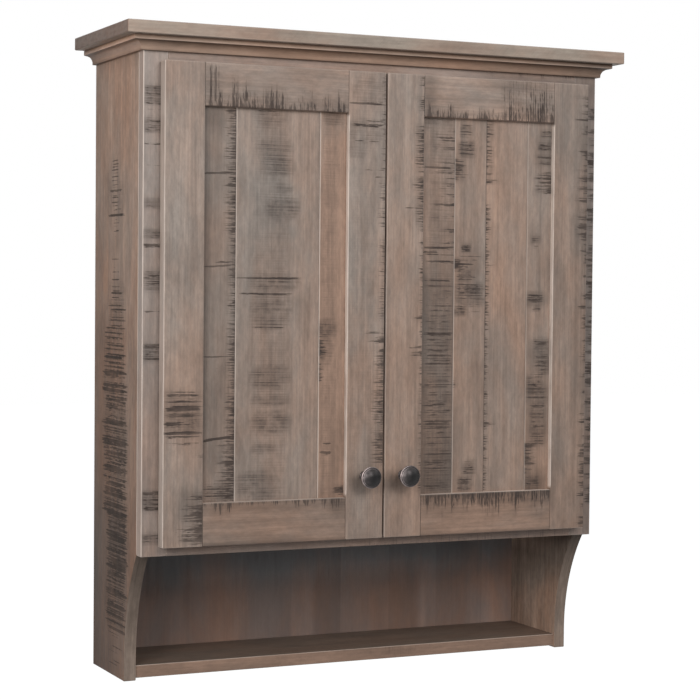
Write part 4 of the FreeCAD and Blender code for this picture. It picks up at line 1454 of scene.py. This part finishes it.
@dataclass
class Crown:
    """The crown: a flat cap on a mitred cove moulding along the front and the two sides."""

    half_width: float = 381.0
    front: float = 225.4
    bottom: float = 352.85
    height: float = 21.0
    out: float = 19.5
    lip_out: float = 5.8
    lip: float = 2.2
    fillet: float = 7.0
    quirk_out: float = 4.0
    quirk: float = 1.0
    face_depth: float = 0.2
    blush: float = 0.6
    return_blush: float = 1.2
    # Painted light and shade along the runs: the front darker towards its right end, the side returns lighter in the
    # middle and darker towards the back, and their outer faces painted lighter.
    fade: tuple[Span, ...] = ((-381.0, 1.12), (-100.0, 1.10), (150.0, 1.04), (300.0, 0.89), (385.0, 0.60))
    return_fade: tuple[Span, ...] = ((-245.0, 1.20), (-200.0, 1.50), (-100.0, 1.46), (-60.0, 1.10), (0.0, 0.64))
    return_lift: float = 1.40
    pitch: float = 12.0

    def profile(self) -> list[tuple[float, float, float, float]]:
        """Draw the moulding's outline from the case outwards and back.

        Returns:
            How far out and up each point is, in millimetres, its paleness from use and painted highlight, and its tone,
            which paints shade at the lip, at the top of the cove, in the quirk and under the cap.
        """
        cove_out, cove_top = self.out - self.quirk_out, self.height - self.fillet - self.quirk
        run, rise = cove_out - self.lip_out, cove_top - self.lip
        line = [(0.0, 0.0, 0.0, 0.6), (self.lip_out - 0.5, 0.0, 0.0, 0.6), (self.lip_out - 0.12, 0.12, 0.0, 0.7),
                (self.lip_out, 0.5, 0.0, 0.75), (self.lip_out, self.lip, 0.0, 0.9)]
        for step in np.linspace(0.0, 1.0, 13)[1:]:
            turn = step * math.pi / 2
            line.append((self.lip_out + run * (1.0 - math.cos(turn)), self.lip + rise * math.sin(turn), 0.0,
                         1.0 - 0.45 * step ** 4))
        top = self.height - self.fillet
        line += [(self.out - 0.6, top - 0.15, 0.0, 0.5), (self.out - 0.1, top + 0.1, 0.25, 0.95),
                 (self.out, top + 0.6, 0.2, 1.0), (self.out, self.height - 3.0, 0.0, 0.95),
                 (self.out, self.height - 0.5, 0.0, 0.6), (self.out - 0.3, self.height, 0.0, 0.6),
                 (0.0, self.height, 0.0, 0.7)]
        return line

    def run(self, node: str, place: object, length: object, seed: int, axis: Axis) -> None:
        """Build one mitred length of moulding.

        Args:
            node: The CAD node that it stands for.
            place: Turns how far out, up and along a point is into a place in millimetres.
            length: Turns how far out a point is into the start and end of its run.
            seed: Shifts the grain.
            axis: The axis that the moulding runs along.
        """
        line = self.profile()
        starts = [length(point[0]) for point in line]
        stations = max(3, int(abs(starts[0][1] - starts[0][0]) / self.pitch))
        around = np.concatenate([[0.0], np.cumsum([math.dist(a[:2], b[:2]) for a, b in zip(line, line[1:])])])
        points, grain = [], []
        for station in range(stations + 1):
            share = station / stations
            for (out, up, _, _), (begin, end), path in zip(line, starts, around):
                along = begin + (end - begin) * share
                points.append(place(out, up, along))
                grain.append((path * MM + seed * 2.9, along * MM + seed * 1.3))
        width = len(line)
        faces = []
        for station in range(stations):
            for step in range(width):
                near, far = station * width + step, station * width + (step + 1) % width
                faces.append((near, far, far + width, near + width))
        faces += [tuple(range(width - 1, -1, -1)), tuple(range(stations * width, (stations + 1) * width))]
        corners = np.array([grain[spot] for one in faces for spot in one])
        count = len(points)
        wear, tone = (np.tile([point[index] for point in line], stations + 1) for index in (2, 3))
        # Painted light and shade along the run, and painted light on the outer faces of the returns.
        fade, blush, lift = self.fade, self.blush, 1.0
        if axis is not Axis.X:
            fade, blush, lift = self.return_fade, self.return_blush, self.return_lift
        tone = tone * np.interp(np.array(points)[:, axis.value], *zip(*fade))
        tone = tone * np.tile([lift if out > self.out - self.face_depth else 1.0 for out, *_ in line], stations + 1)
        carried = {"wear": wear, "saw": np.zeros(count), "haze": np.zeros(count), "blush": np.full(count, blush),
                   "tone": tone}
        made = Draft(np.array(points) * MM, faces, corners, carried).object(f"{node}_run", shared(MOULDING_WOOD))
        drawn = bmesh.new()
        drawn.from_mesh(made.data)
        bmesh.ops.recalc_face_normals(drawn, faces=drawn.faces)
        drawn.to_mesh(made.data)
        drawn.free()
        smooth(made.data, angle=40.0)
        settle(made, "case", CROWN_WOOD.slot, node)

    def build(self) -> None:
        """Build the three mouldings, the cap and its screws."""
        half, front = self.half_width, self.front
        self.run("crown_moulding_front", lambda out, up, along: (along, -front - out, self.bottom + up),
                 lambda out: (-half - out, half + out), 41, Axis.X)
        for side in Side:
            self.run(f"crown_moulding_{side.word}",
                     lambda out, up, along, s=side.value: (s * (half + out), along, self.bottom + up),
                     lambda out: (-front - out, 0.0), 42 + side.value, Axis.Y)
        hatch = hazes((372, 394, -250, -110, 0.30), (372, 394, -90, 60, 0.24), (372, 394, 40, 400, 0.20))
        Board("crown_cap", "case", CROWN_WOOD, Axis.X, marks=hatch, blush=0.28, tone=1.03, stray=0.2, ease=1.4,
              end_tone=0.50, end_fall=0.38, end_blush=0.75, pitch=9.0, seed=44).build()
        screws("cap_screws", "case", Axis.Z, -1.0, head=2.5)


@dataclass
class Case:
    """The case: sides, boards, shelves, back and face frame with its fittings."""

    side_marks: tuple[SawMark, ...]
    left_stile_marks: tuple[SawMark, ...]
    right_stile_marks: tuple[SawMark, ...]
    rail_marks: tuple[tuple[SawMark, ...], ...]

    def build(self) -> None:
        """Build every piece of the case."""
        for side in Side:
            # Painted shade on the sides: darker towards the bottom, and towards the back the more so the lower, and on
            # the hidden faces darker towards the bottom.
            SidePanel(f"{side.word}_side_panel", "case", SIDE_WOOD, Axis.Z, Axis.X, side is Side.LEFT,
                      self.side_marks, blush=0.54, blush_low=0.3, hidden_blush=-1.3, tone=1.36, fall=0.50,
                      fall_across=0.36, fall_low=1.6, hidden_fall=0.25, pale_low=1.0, pale_next=0.7, pale_high=0.0,
                      pale_ends=0.0, pale_span=(-380.0, 352.0), stray=0.1, seed=52 + side.value, pitch=5.0).build()
        self.boards()
        self.face_frame()
        self.fittings()

    def boards(self) -> None:
        """Build the top, floor, open shelf, back, hanging rails and loose shelves."""
        hidden = {"pale_low": 0.1, "pale_wall": 0.3}
        # The open shelf in the bay is painted darker, as shade, with painted light on its front and back edges.
        painted_bay_light = {"tone": 0.68, "blush": 0.3, "fall_across": 0.2, "pale_low": 0.5, "pale_wall": 0.0, "edge_tone": 1.36,
                  "hidden_blush": 0.7}
        for number, (node, shown, looks) in enumerate((
                ("cabinet_top_panel", Axis.Z, hidden), ("cabinet_floor", Axis.Z, hidden),
                ("open_shelf", Axis.Z, painted_bay_light), ("upper_hanging_rail", Axis.Y, hidden),
                ("lower_hanging_rail", Axis.Y, hidden), ("lower_adjustable_shelf", Axis.Z, hidden),
                ("upper_adjustable_shelf", Axis.Z, hidden))):
            Board(node, "case", SHELF_WOOD, Axis.X, shown, False, stray=0.3, pitch=9.0, seed=60 + number,
                  **looks).build()
        # Painted shade on the back panel in the bay: these darker patches, the cooler band under the face frame and the
        # change across the panel.
        painted_bay_shade = stains_and_shade((-420, 290, -474, -300, 0.36), (-240, -10, -640, -410, 0.26), (-20, 195, -640, -410, 0.46),
                       (180, 285, -640, -410, 0.24))
        Board("back_panel", "case", INSIDE_WOOD, Axis.Z, marks=painted_bay_shade, blush=0.66, tone=1.48, fall_across=0.16,
              stray=0.2, chill=((-482.0, 0.0), (-425.0, 0.75), (-384.0, 0.75), (-370.0, 0.0)), ease=0.5, pitch=9.0,
              seed=70).build()

    def face_frame(self) -> None:
        """Build the frame's stiles and rails."""
        common = {"body": "case", "finish": FRAME_WOOD}
        # Painted light on the left stile against the door's shadow: lighter towards the door and at its edges, and
        # darker towards the bottom.
        Board("face_frame_left_stile", run=Axis.Z, marks=self.left_stile_marks, blush=0.34, seed=81, pale_low=1.0,
              tone=1.03, fall=0.26, fall_across=-0.34, pale_wall=0.2, pale_next=0.4, hidden_blush=0.5,
              edge_tone=1.1, **common).build()
        Board("face_frame_right_stile", run=Axis.Z, marks=self.right_stile_marks, blush=0.4, tone=0.93, seed=82,
              **common).build()
        for number, name in enumerate(("top", "bottom")):
            Board(f"face_frame_{name}_rail", run=Axis.X, marks=self.rail_marks[number], blush=(0.7, 0.6)[number],
                  tone=(1.04, 1.02)[number], seed=83 + number, pale_low=0.0, pale_high=0.0, **common).build()

    def fittings(self) -> None:
        """Build the dowels and arm screws and dress the hinge arms and shelf pins."""
        spots, (radius, length) = fitting_spots("face_frame_dowels", Axis.X, 1.0)
        pegs = TREES[Fitting.ROD].make("face_frame_dowel_pegs", spots, Vector((1, 0, 0)), shared(BIRCH),
                                       radius=radius, length=length)
        settle(pegs, "case", BIRCH.slot, "face_frame_dowels")
        for side in Side:
            screws(f"{side.word}_hinge_arm_screws", "case", Axis.X, -side.value)
            dress_node(f"{side.word}_hinge_arms", shared(NICKEL))
        dress_node("shelf_pins", shared(NICKEL))


@dataclass
class Studio:
    """The pale floor, the white surround, the soft lamps and the camera of the photograph."""

    camera_place: tuple[float, float, float] = (-1307.47, -2939.65, 12.28)
    turn: float = 24.8833
    pitch: float = -1.7971
    roll: float = 0.5185
    lens: float = 101.291
    sensor: float = 36.0
    floor_level: float = -1.05
    floor_reach: float = 14.0
    floor_grey: float = 0.35
    floor_glow: float = 0.94
    ambient: float = 0.20
    ambient_tint: Colour = (0.90, 0.98, 1.10)
    lamps: tuple[tuple, ...] = (
        ("front_softbox", (0.30, -2.85, 1.45), (0.0, -0.2, 0.0), 1.5, 45.0),
        ("left_softbox", (-2.3, -2.2, 0.60), (-0.2, -0.2, -0.1), 1.3, 52.0),
        ("right_fill", (2.4, -1.2, 1.2), (0.2, -0.1, 0.0), 1.4, 12.0),
    )

    def build(self) -> None:
        """Set up the room."""
        bpy.context.scene.view_settings.view_transform = "Standard"
        self.world()
        self.floor()
        for lamp in self.lamps:
            self.lamp(*lamp)
        self.camera()

    def seen(self, bench: NodeBench) -> bpy.types.NodeSocket:
        """Tell rays that show the surround from rays that only light the object.

        Args:
            bench: The bench of the tree to add the test to.

        Returns:
            1 for camera, glossy and transmission rays.
        """
        path = bench.add("ShaderNodeLightPath").outputs
        shown = bench.sum("MAXIMUM", path["Is Camera Ray"], path["Is Glossy Ray"])
        return bench.sum("MAXIMUM", shown, path["Is Transmission Ray"])

    def world(self) -> None:
        """Make the surround white to look at and a soft grey light."""
        world = bpy.data.worlds.new("surround")
        bpy.context.scene.world = world
        world.use_nodes = True
        bench = NodeBench(world.node_tree)
        soft = (*(self.ambient * part for part in self.ambient_tint), 1.0)
        shine = bench.add("ShaderNodeBackground", {"Color": bench.mix(self.seen(bench), soft, WHITE)})
        bench.add("ShaderNodeOutputWorld", {0: shine.outputs[0]})

    def floor(self) -> None:
        """Lay a pale floor that keeps the cabinet's shadow."""
        reach = self.floor_reach
        mesh = bpy.data.meshes.new("floor")
        rim = [(-reach, -reach), (reach, -reach), (reach, reach), (-reach, reach)]
        mesh.from_pydata([(x, y, self.floor_level) for x, y in rim], [], [(0, 1, 2, 3)])
        floor = bpy.data.objects.new("floor", mesh)
        bpy.context.scene.collection.objects.link(floor)
        bench = ShaderBench("floor_pale")
        matt = bench.add("ShaderNodeBsdfDiffuse", {"Color": (*(self.floor_grey,) * 3, 1.0)})
        level = bench.sum("MULTIPLY", self.seen(bench), self.floor_glow)
        glow = bench.add("ShaderNodeEmission", {"Strength": level})
        both = bench.add("ShaderNodeAddShader", {0: matt.outputs[0], 1: glow.outputs[0]})
        bench.add("ShaderNodeOutputMaterial", {0: both.outputs[0]})
        mesh.materials.append(bench.material)
        floor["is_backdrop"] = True

    def lamp(self, name: str, place: Colour, target: Colour, size: float, power: float) -> None:
        """Hang a soft square lamp.

        Args:
            name: The lamp's name.
            place: Where it hangs, in metres.
            target: What it points at.
            size: The length of its side.
            power: Its power in watts.
        """
        light = bpy.data.lights.new(name, "AREA")
        light.size, light.energy = size, power
        lamp = bpy.data.objects.new(name, light)
        lamp.location = place
        lamp.rotation_euler = (Vector(target) - Vector(place)).to_track_quat("-Z", "Y").to_euler()
        bpy.context.scene.collection.objects.link(lamp)

    def camera(self) -> None:
        """Stand the camera where the photograph was taken from."""
        data = bpy.data.cameras.new("camera")
        data.lens, data.sensor_width = self.lens, self.sensor
        camera = bpy.data.objects.new("camera", data)
        bpy.context.scene.collection.objects.link(camera)
        turn, pitch, roll = (math.radians(angle) for angle in (self.turn, self.pitch, self.roll))
        ahead = Vector((math.sin(turn) * math.cos(pitch), math.cos(turn) * math.cos(pitch), math.sin(pitch)))
        right = Vector((math.cos(turn), -math.sin(turn), 0.0))
        up = right.cross(ahead)
        right, up = (math.cos(roll) * right + math.sin(roll) * up, math.cos(roll) * up - math.sin(roll) * right)
        place = Matrix((right, up, -ahead)).transposed().to_4x4()
        place.translation = Vector(self.camera_place) * MM
        camera.matrix_world = place
        bpy.context.scene.camera = camera


# The saw marks of each board, with their places in millimetres of the frame
LEFT_DOOR = Door(
    side=Side.LEFT,
    seed=11,
    hinge_marks=marks((-357, -294, -148, -140, 0.8), (-357, -294, -157, -153, 0.95), (-358, -292, -169, -161, 1.2),
                      (-358, -292, -177, -172, 1.15), (-358, -322, -192, -184, 1.05), (-340, -292, -192, -185, 0.6),
                      (-358, -292, -203, -198, 1.3), (-358, -292, -208, -205, 1.0), (-358, -292, -218, -214, 0.75))
    + smudges((-358, -292, -208, -138, 0.55))
    + stains_and_shade((-358, -292, -220, -130, 0.30))
    + stains_and_shade((-322, -292, -400, 400, 0.20), start=Start.HIGH)
    + stains_and_shade((-334, -270, -350, -262, 0.42))
    + from_high((-318, -292, -237, -232, 0.8), (-332, -292, -302, -288, 1.0), (-336, -292, -336, -304, 1.25),
                (-344, -292, -367, -334, 1.2)),
    lock_marks=marks((-66, 1, 288, 293, 1.05), (-66, 1, 255, 260, 0.95), (-40, 1, 263, 267, 0.8),
                     (-66, 1, 233, 236, 0.75), (-44, 1, 189, 192, 0.9), (-22, 1, 179, 182, 0.8),
                     (-36, 1, -56, -53, 0.95))
    + hazes((-70, 6, 226, 270, 0.62), (-70, -30, 206, 236, 0.58), (-60, 10, 280, 345, 0.52))
    # Painted shadow of the knob, below it and to its left.
    + stains_and_shade((-62, -22, -304, -262, 0.34))
    + from_high((-34, 0, -70, -62, 1.3), (-24, 0, -138, -74, 0.95), (-30, 0, -258, -138, 0.95),
                (-20, 0, 100, 180, 0.65), (-18, 0, -60, 90, 0.62), (-14, 0, 180, 338, 0.6)),
    top_marks=marks((272, 342, -287, -283, 0.8), (272, 342, -280, -276, 1.15), (290, 342, -274, -272, 0.6))
    + from_low((275, 296, -292, -64, 0.74), (275, 312, -274, -268, 1.0), (275, 334, -258, -240, 1.12),
               (275, 328, -236, -222, 1.08), (275, 308, -218, -210, 0.95), (275, 318, -204, -164, 0.98),
               (275, 318, -148, -114, 1.02), (275, 316, -106, -94, 1.05), (275, 318, -84, -76, 1.1),
               (275, 306, -73, -65, 1.0))
    + stains_and_shade((240, 330, -310, -256, 0.26)),
    bottom_marks=from_high((-315, -303, -293, -64, 0.66), (-318, -303, -293, -287, 1.15), (-322, -303, -278, -271, 1.2),
                           (-336, -303, -268, -263, 1.15), (-326, -303, -257, -250, 1.2),
                           (-314, -303, -204, -186, 0.85), (-314, -303, -176, -164, 0.8), (-324, -303, -146, -138, 1.2),
                           (-318, -303, -138, -108, 1.0), (-324, -303, -104, -94, 1.15), (-328, -303, -92, -68, 1.15),
                           (-342, -303, -79, -75, 1.1))
    # The first of these paints the shadow along the door's lower edge.
    + stains_and_shade((-372, -363, -500, 140, 0.3), (-334, -280, -100, -46, 0.36)),
    plank_marks=(
        marks((-296, -240, 176, 179, 1.4, 3.0), (-275, -240, 48, 51, 1.1), (-296, -240, 40, 43, 1.4, 3.0),
              (-296, -240, -91, -89, 0.9), (-296, -240, -216, -212, 1.4, 7.0), (-270, -266, -108, -104, 1.4))
        + smudges((-296, -240, -304, -276, 0.85))
        + from_high((-266, -241, 88, 278, 0.96), (-258, -241, 0, 92, 0.90), (-260, -241, -140, 0, 0.94),
                    (-264, -241, -215, -138, 1.02), (-280, -241, -304, -212, 1.0))
        + stains_and_shade((-264, -241, -306, 280, 0.12), start=Start.HIGH)
        + stains_and_shade((-316, -252, 210, 330, 0.48))
        # Painted shadow of the hinge stile on the plank's left side.
        + stains_and_shade((-294, -250, -306, 280, 0.44), start=Start.LOW),
        marks((-242, -134, 24.5, 27.5, 1.2), (-240, -146, 1, 4, 1.05), (-224, -160, -49, -46, 0.85),
              (-196, -156, -67, -64, 0.6), (-214, -176, 271, 274, 0.75))
        + hazes((-218, -164, 244, 286, 1.0), (-212, -150, 196, 236, 0.95), (-206, -148, 172, 214, 1.12),
                (-188, -150, 150, 168, 0.95), (-200, -138, 110, 150, 1.25), (-226, -138, 4, 34, 1.1),
                (-222, -150, -56, 12, 1.12), (-220, -150, -146, -98, 1.15), (-218, -152, -166, -144, 1.05),
                (-218, -150, -210, -166, 1.25), (-216, -174, -236, -218, 1.05), (-242, -164, -308, -256, 1.1)),
        hazes((-104, -66, 254, 284, 1.1), (-114, -76, -68, -32, 1.5), (-112, -82, -112, -50, 1.0))
        + marks((-98, -84, -224, -220, 0.85), (-104, -84, -240, -233, 0.95), (-106, -66, 196, 200, 0.5))
        + from_low((-108, -88, -94, -58, 1.05), (-108, -94, -132, -94, 0.95))
        + from_high((-90, -62, -304, -284, 1.1)),
    ),
    blushes={"hinge": 0.50, "lock": 0.48, "top": 0.55, "bottom": 0.74},
    tones={"hinge": 1.05, "lock": 1.02, "top": 0.88, "bottom": 0.79},
    plank_blush=(0.46, 0.42, 0.95),
    plank_tone=(0.90, 0.95, 0.95),
    plank_pale=(0.0, 0.5, 0.7),
    bottom_pale=0.5,
)

RIGHT_DOOR = Door(
    side=Side.RIGHT,
    seed=23,
    hinge_marks=strewn((322, 358), (96, 318), 11.0, (4.0, 13.0), (0.35, 1.0), (0.95, 1.5), 5, Start.HIGH, Kind.SPIKES)
    + strewn((334, 358), (-366, 92), 17.0, (4.0, 13.0), (0.35, 1.0), (1.0, 1.6), 6, Start.HIGH, Kind.SPIKES)
    # Painted shade towards the stile's right edge.
    + stains_and_shade((326, 357, -368, 330, 0.26), start=Start.HIGH)
    + stains_and_shade((292, 312, -350, -230, 0.40), start=Start.LOW),
    lock_marks=from_high((44, 65, 190, 264, 1.05), (38, 65, 160, 186, 1.1), (46, 65, 98, 160, 1.0),
                         (46, 65, 282, 310, 0.95), (50, 65, 320, 340, 0.95), (52, 65, 20, 92, 0.7),
                         (44, 65, -38, -28, 1.15), (38, 65, -92, -84, 1.3), (54, 65, -300, 20, 0.66))
    + marks((30, 66, 134, 137, 0.85), (38, 66, -79, -76, 0.85))
    # Painted shadow of the knob, below it and to its left.
    + stains_and_shade((4, 44, -304, -262, 0.46)),
    top_marks=from_low((275, 294, 64, 294, 0.76), (275, 310, 64, 78, 1.1), (275, 304, 102, 120, 1.05),
                       (275, 296, 130, 140, 0.95), (275, 304, 156, 188, 1.0), (275, 324, 199, 208, 1.1),
                       (275, 342, 215, 225, 1.2), (275, 350, 226, 232, 1.12), (275, 330, 233, 241, 1.0),
                       (275, 328, 246, 258, 1.08), (275, 350, 260, 282, 1.15), (275, 342, 281, 294, 1.0))
    + strewn((275, 360), (204, 292), 6.5, (1.6, 4.0), (0.45, 1.0), (0.95, 1.3), 14, Start.LOW, Kind.SPIKES)
    + smudges((270, 352, 196, 296, 0.50))
    + stains_and_shade((270, 350, 160, 330, 0.14), (250, 370, 36, 96, 0.36)),
    bottom_marks=from_high((-324, -303, 64, 294, 0.90), (-334, -303, 65, 112, 1.05), (-344, -303, 74, 79, 1.15),
                           (-332, -303, 118, 130, 1.0), (-344, -303, 139, 149, 1.1), (-340, -303, 151, 161, 1.05),
                           (-342, -303, 164, 176, 1.1), (-352, -303, 179, 187, 1.2), (-368, -303, 188, 191, 1.25),
                           (-352, -303, 197, 204, 1.2), (-336, -303, 211, 219, 1.0), (-332, -303, 230, 249, 1.0),
                           (-344, -303, 257, 269, 1.1), (-360, -303, 274, 281, 1.15), (-324, -303, 283, 294, 1.0))
    + strewn((-358, -303), (66, 290), 7.5, (1.6, 4.5), (0.3, 1.0), (1.0, 1.35), 15, Start.HIGH, Kind.SPIKES)
    + smudges((-326, -296, 50, 310, 0.55))
    + stains_and_shade((-334, -303, -40, 400, 0.26), start=Start.HIGH)
    # Painted shadow along the door's lower edge.
    + stains_and_shade((-372, -363, -140, 500, 0.3)),
    plank_marks=(
        smudges((272, 297, 252, 265, 0.85), (266, 297, 230, 246, 0.85), (264, 297, 206, 226, 0.75),
                (258, 276, 86, 98, 0.85), (249, 284, -10, 8, 0.95), (260, 278, -22, -13, 0.75),
                (260, 297, -90, -62, 0.84), (262, 297, -124, -88, 0.86), (250, 284, -144, -122, 0.86),
                (249, 294, -166, -140, 0.78), (256, 290, -234, -162, 0.74), (249, 280, -304, -280, 0.95))
        + stains_and_shade((252, 304, -134, -54, 0.34), (244, 296, -176, -116, 0.28), (250, 296, -250, -156, 0.24),
                 (240, 292, -330, -266, 0.40), (258, 304, 196, 276, 0.26), (252, 282, 80, 104, 0.24),
                 (244, 290, -20, 14, 0.28))
        + marks((262, 274, 78, 82, 0.8))
        + from_high((254, 296, 163, 202, 1.1))
        + from_low((249, 278, -282, -230, 1.05)),
        from_low((176, 212, 183, 187, 1.15), (176, 206, 176, 180, 1.1), (176, 216, 54, 57, 1.1),
                 (176, 198, 46, 50, 0.9), (176, 190, -78, -73, 1.0), (176, 202, -202, -197, 1.25),
                 (176, 190, -207, -204, 0.9), (176, 194, 188, 278, 0.8), (176, 190, 96, 144, 0.95),
                 (176, 187, -302, 96, 0.8)),
        smudges((128, 152, 246, 270, 0.85), (124, 158, 216, 242, 0.95), (132, 152, 68, 84, 1.1),
                (120, 160, 20, 46, 0.75), (118, 180, -14, 24, 0.92), (118, 146, -30, -13, 0.85),
                (136, 164, -279, -254, 0.85), (128, 158, -304, -279, 1.1))
        + from_low((120, 152, 178, 216, 1.05), (120, 160, 40, 62, 1.15), (120, 130, -142, -124, 0.9))
        + strewn((120, 174), (-24, 84), 6.0, (1.0, 2.2), (0.5, 1.0), (0.6, 0.85), 19)
        + stains_and_shade((112, 180, -30, 100, 0.22))
        + stains_and_shade((118, 156, -350, -150, 0.34), start=Start.LOW),
        marks((62, 124, 197, 201, 1.25), (76, 124, 190, 193, 1.0), (66, 124, 74, 77, 1.35), (72, 124, 53, 56, 1.0),
              (66, 124, -59, -55, 1.3), (66, 124, -198, -194, 1.25), (88, 124, 243, 247, 0.85), (64, 96, 64, 72, 0.9))
        + smudges((60, 126, 258, 280, 0.65), (66, 126, -306, -246, 0.70), (64, 126, -256, -130, 0.56),
                  (64, 126, -134, -58, 0.52), (68, 126, -62, 34, 0.48), (70, 126, 30, 262, 0.36))
        + strewn((66, 124), (36, 262), 5.4, (1.2, 2.6), (0.45, 1.0), (0.75, 1.05), 7, Start.HIGH, Kind.SPIKES)
        + strewn((64, 126), (-304, 34), 6.4, (1.2, 2.6), (0.75, 1.0), (0.70, 1.0), 8)
        + stains_and_shade((66, 122, -306, 280, 0.16), start=Start.HIGH)
        + stains_and_shade((50, 150, -350, -190, 0.48), (50, 150, -400, 90, 0.36)),
    ),
    blushes={"hinge": 0.58, "lock": 0.55, "top": 0.62, "bottom": 0.72},
    tones={"hinge": 0.89, "lock": 1.0, "top": 1.05, "bottom": 0.88},
    plank_blush=(0.55, 0.66, 0.62, 0.62),
    plank_tone=(0.98, 1.0, 0.94, 0.97),
    plank_pale=(0.35, 0.0, 0.42, 0.0),
    bottom_pale=0.8,
)

CASE = Case(
    side_marks=hazes((-150, -54, 96, 220, 0.24), (-150, -60, -50, 30, 0.4))
    + marks((-118, -74, 199, 202, 1.05), (-136, -68, 154, 157.5, 1.15), (-140, -84, 126, 129, 1.05),
            (-146, -66, 117, 121, 1.35), (-120, -100, 94, 96.5, 1.0), (-116, -84, 66, 68.5, 0.75),
            (-137, -76, 0, 3, 1.05))
    + smudges((-150, -66, -56, -6, 0.42), (-156, -44, -122, -48, 0.50), (-162, -46, -330, -116, 0.34),
              (-162, -62, -506, -318, 0.44), (-174, -100, -412, -308, 0.55))
    + strewn((-170, -34), (-330, -150), 30.0, (30.0, 56.0), (0.84, 1.0), (0.66, 0.82), 16, kind=Kind.RIBS)
    + strewn((-168, -56), (-500, -330), 30.0, (30.0, 56.0), (0.84, 1.0), (0.72, 0.86), 17, kind=Kind.RIBS)
    + strewn((-118, -80), (132, 198), 5.2, (1.5, 2.2), (0.94, 1.0), (1.0, 1.2), 1)
    + strewn((-120, -86), (78, 114), 6.2, (1.5, 2.2), (0.92, 1.0), (0.9, 1.05), 2)
    + strewn((-124, -80), (-6, 60), 9.0, (1.4, 2.2), (0.85, 1.0), (0.75, 0.95), 3)
    + strewn((-160, -62), (-52, -6), 6.0, (1.6, 3.0), (0.7, 1.0), (0.9, 1.15), 4)
    + strewn((-156, -38), (-122, -50), 6.0, (1.6, 4.5), (0.8, 1.0), (0.95, 1.25), 18)
    + strewn((-168, -36), (-334, -104), 9.0, (1.6, 7.5), (0.65, 1.0), (0.9, 1.35), 9)
    + strewn((-172, -58), (-508, -336), 8.4, (1.6, 7.5), (0.65, 1.0), (0.95, 1.35), 10)
    + strewn((-150, -60), (-560, -510), 12.0, (1.2, 3.0), (0.3, 0.8), (0.6, 0.95), 12)
    + strewn((-172, -112), (-404, -316), 6.5, (1.6, 5.0), (0.75, 1.0), (1.0, 1.3), 20)
    # All but the last of these paint shade: low on the panel, under the crown and at the back near the top.
    + stains_and_shade((-240, 40, -800, -260, 0.33), (-240, 20, -560, -20, 0.14), (-240, 30, 300, 470, 0.10),
             (-240, 30, 326, 420, 0.30), (-44, 40, 220, 420, 0.18), (-168, -60, -420, -310, 0.42)),
    left_stile_marks=smudges((-384, -340, 288, 303, 0.86), (-384, -340, 275, 287, 0.80), (-384, -340, 234, 258, 0.84),
                             (-384, -340, 125, 141, 0.78), (-384, -340, 80, 96, 0.70), (-384, -340, 4, 38, 0.72),
                             (-384, -340, -98, -70, 0.78), (-384, -340, -315, -284, 0.80),
                             (-384, -340, -364, -348, 0.80))
    + marks((-384, -340, 266, 269, 0.7), (-384, -340, 217, 220, 0.7), (-384, -340, 186, 189, 0.6),
            (-384, -340, 68, 75, 0.75), (-384, -340, -27, -23, 0.8), (-384, -340, -78, -72, 0.8),
            (-384, -340, -291, -286, 0.9), (-384, -340, -314, -309, 0.85)),
    right_stile_marks=strewn((350, 388), (-330, 300), 15.0, (6.0, 17.0), (0.5, 1.0), (1.1, 1.9), 13, Start.HIGH,
                             Kind.SPIKES)
    # Painted shade under the moulding at the top of the stile.
    + stains_and_shade((320, 410, 290, 440, 0.30)),
    rail_marks=(
        from_high((338, 374, 180, 196, 0.8), (338, 374, 236, 258, 1.0), (338, 374, 276, 296, 0.9),
                  (338, 374, 312, 340, 1.0))
        # Painted shade under the right end of the moulding.
        + stains_and_shade((330, 400, 120, 520, 0.26)),
        from_low((-384, -354, -340, -80, 0.2), (-384, -354, -60, 340, 0.34)),
    ),
)


def main() -> None:
    """Build the cabinet and its room, and work out the boxes of its size."""
    logging.basicConfig(level=logging.INFO, format="%(name)s: %(message)s")
    CASE.build()
    Crown().build()
    for door in (LEFT_DOOR, RIGHT_DOOR):
        door.build()
    Studio().build()
    bpy.context.view_layer.update()
    boxes = {"cad": CAD_BOX, "visual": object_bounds()}
    {name: [list(corner) for corner in box] for name, box in boxes.items()}


if __name__ == "__main__":
    main()
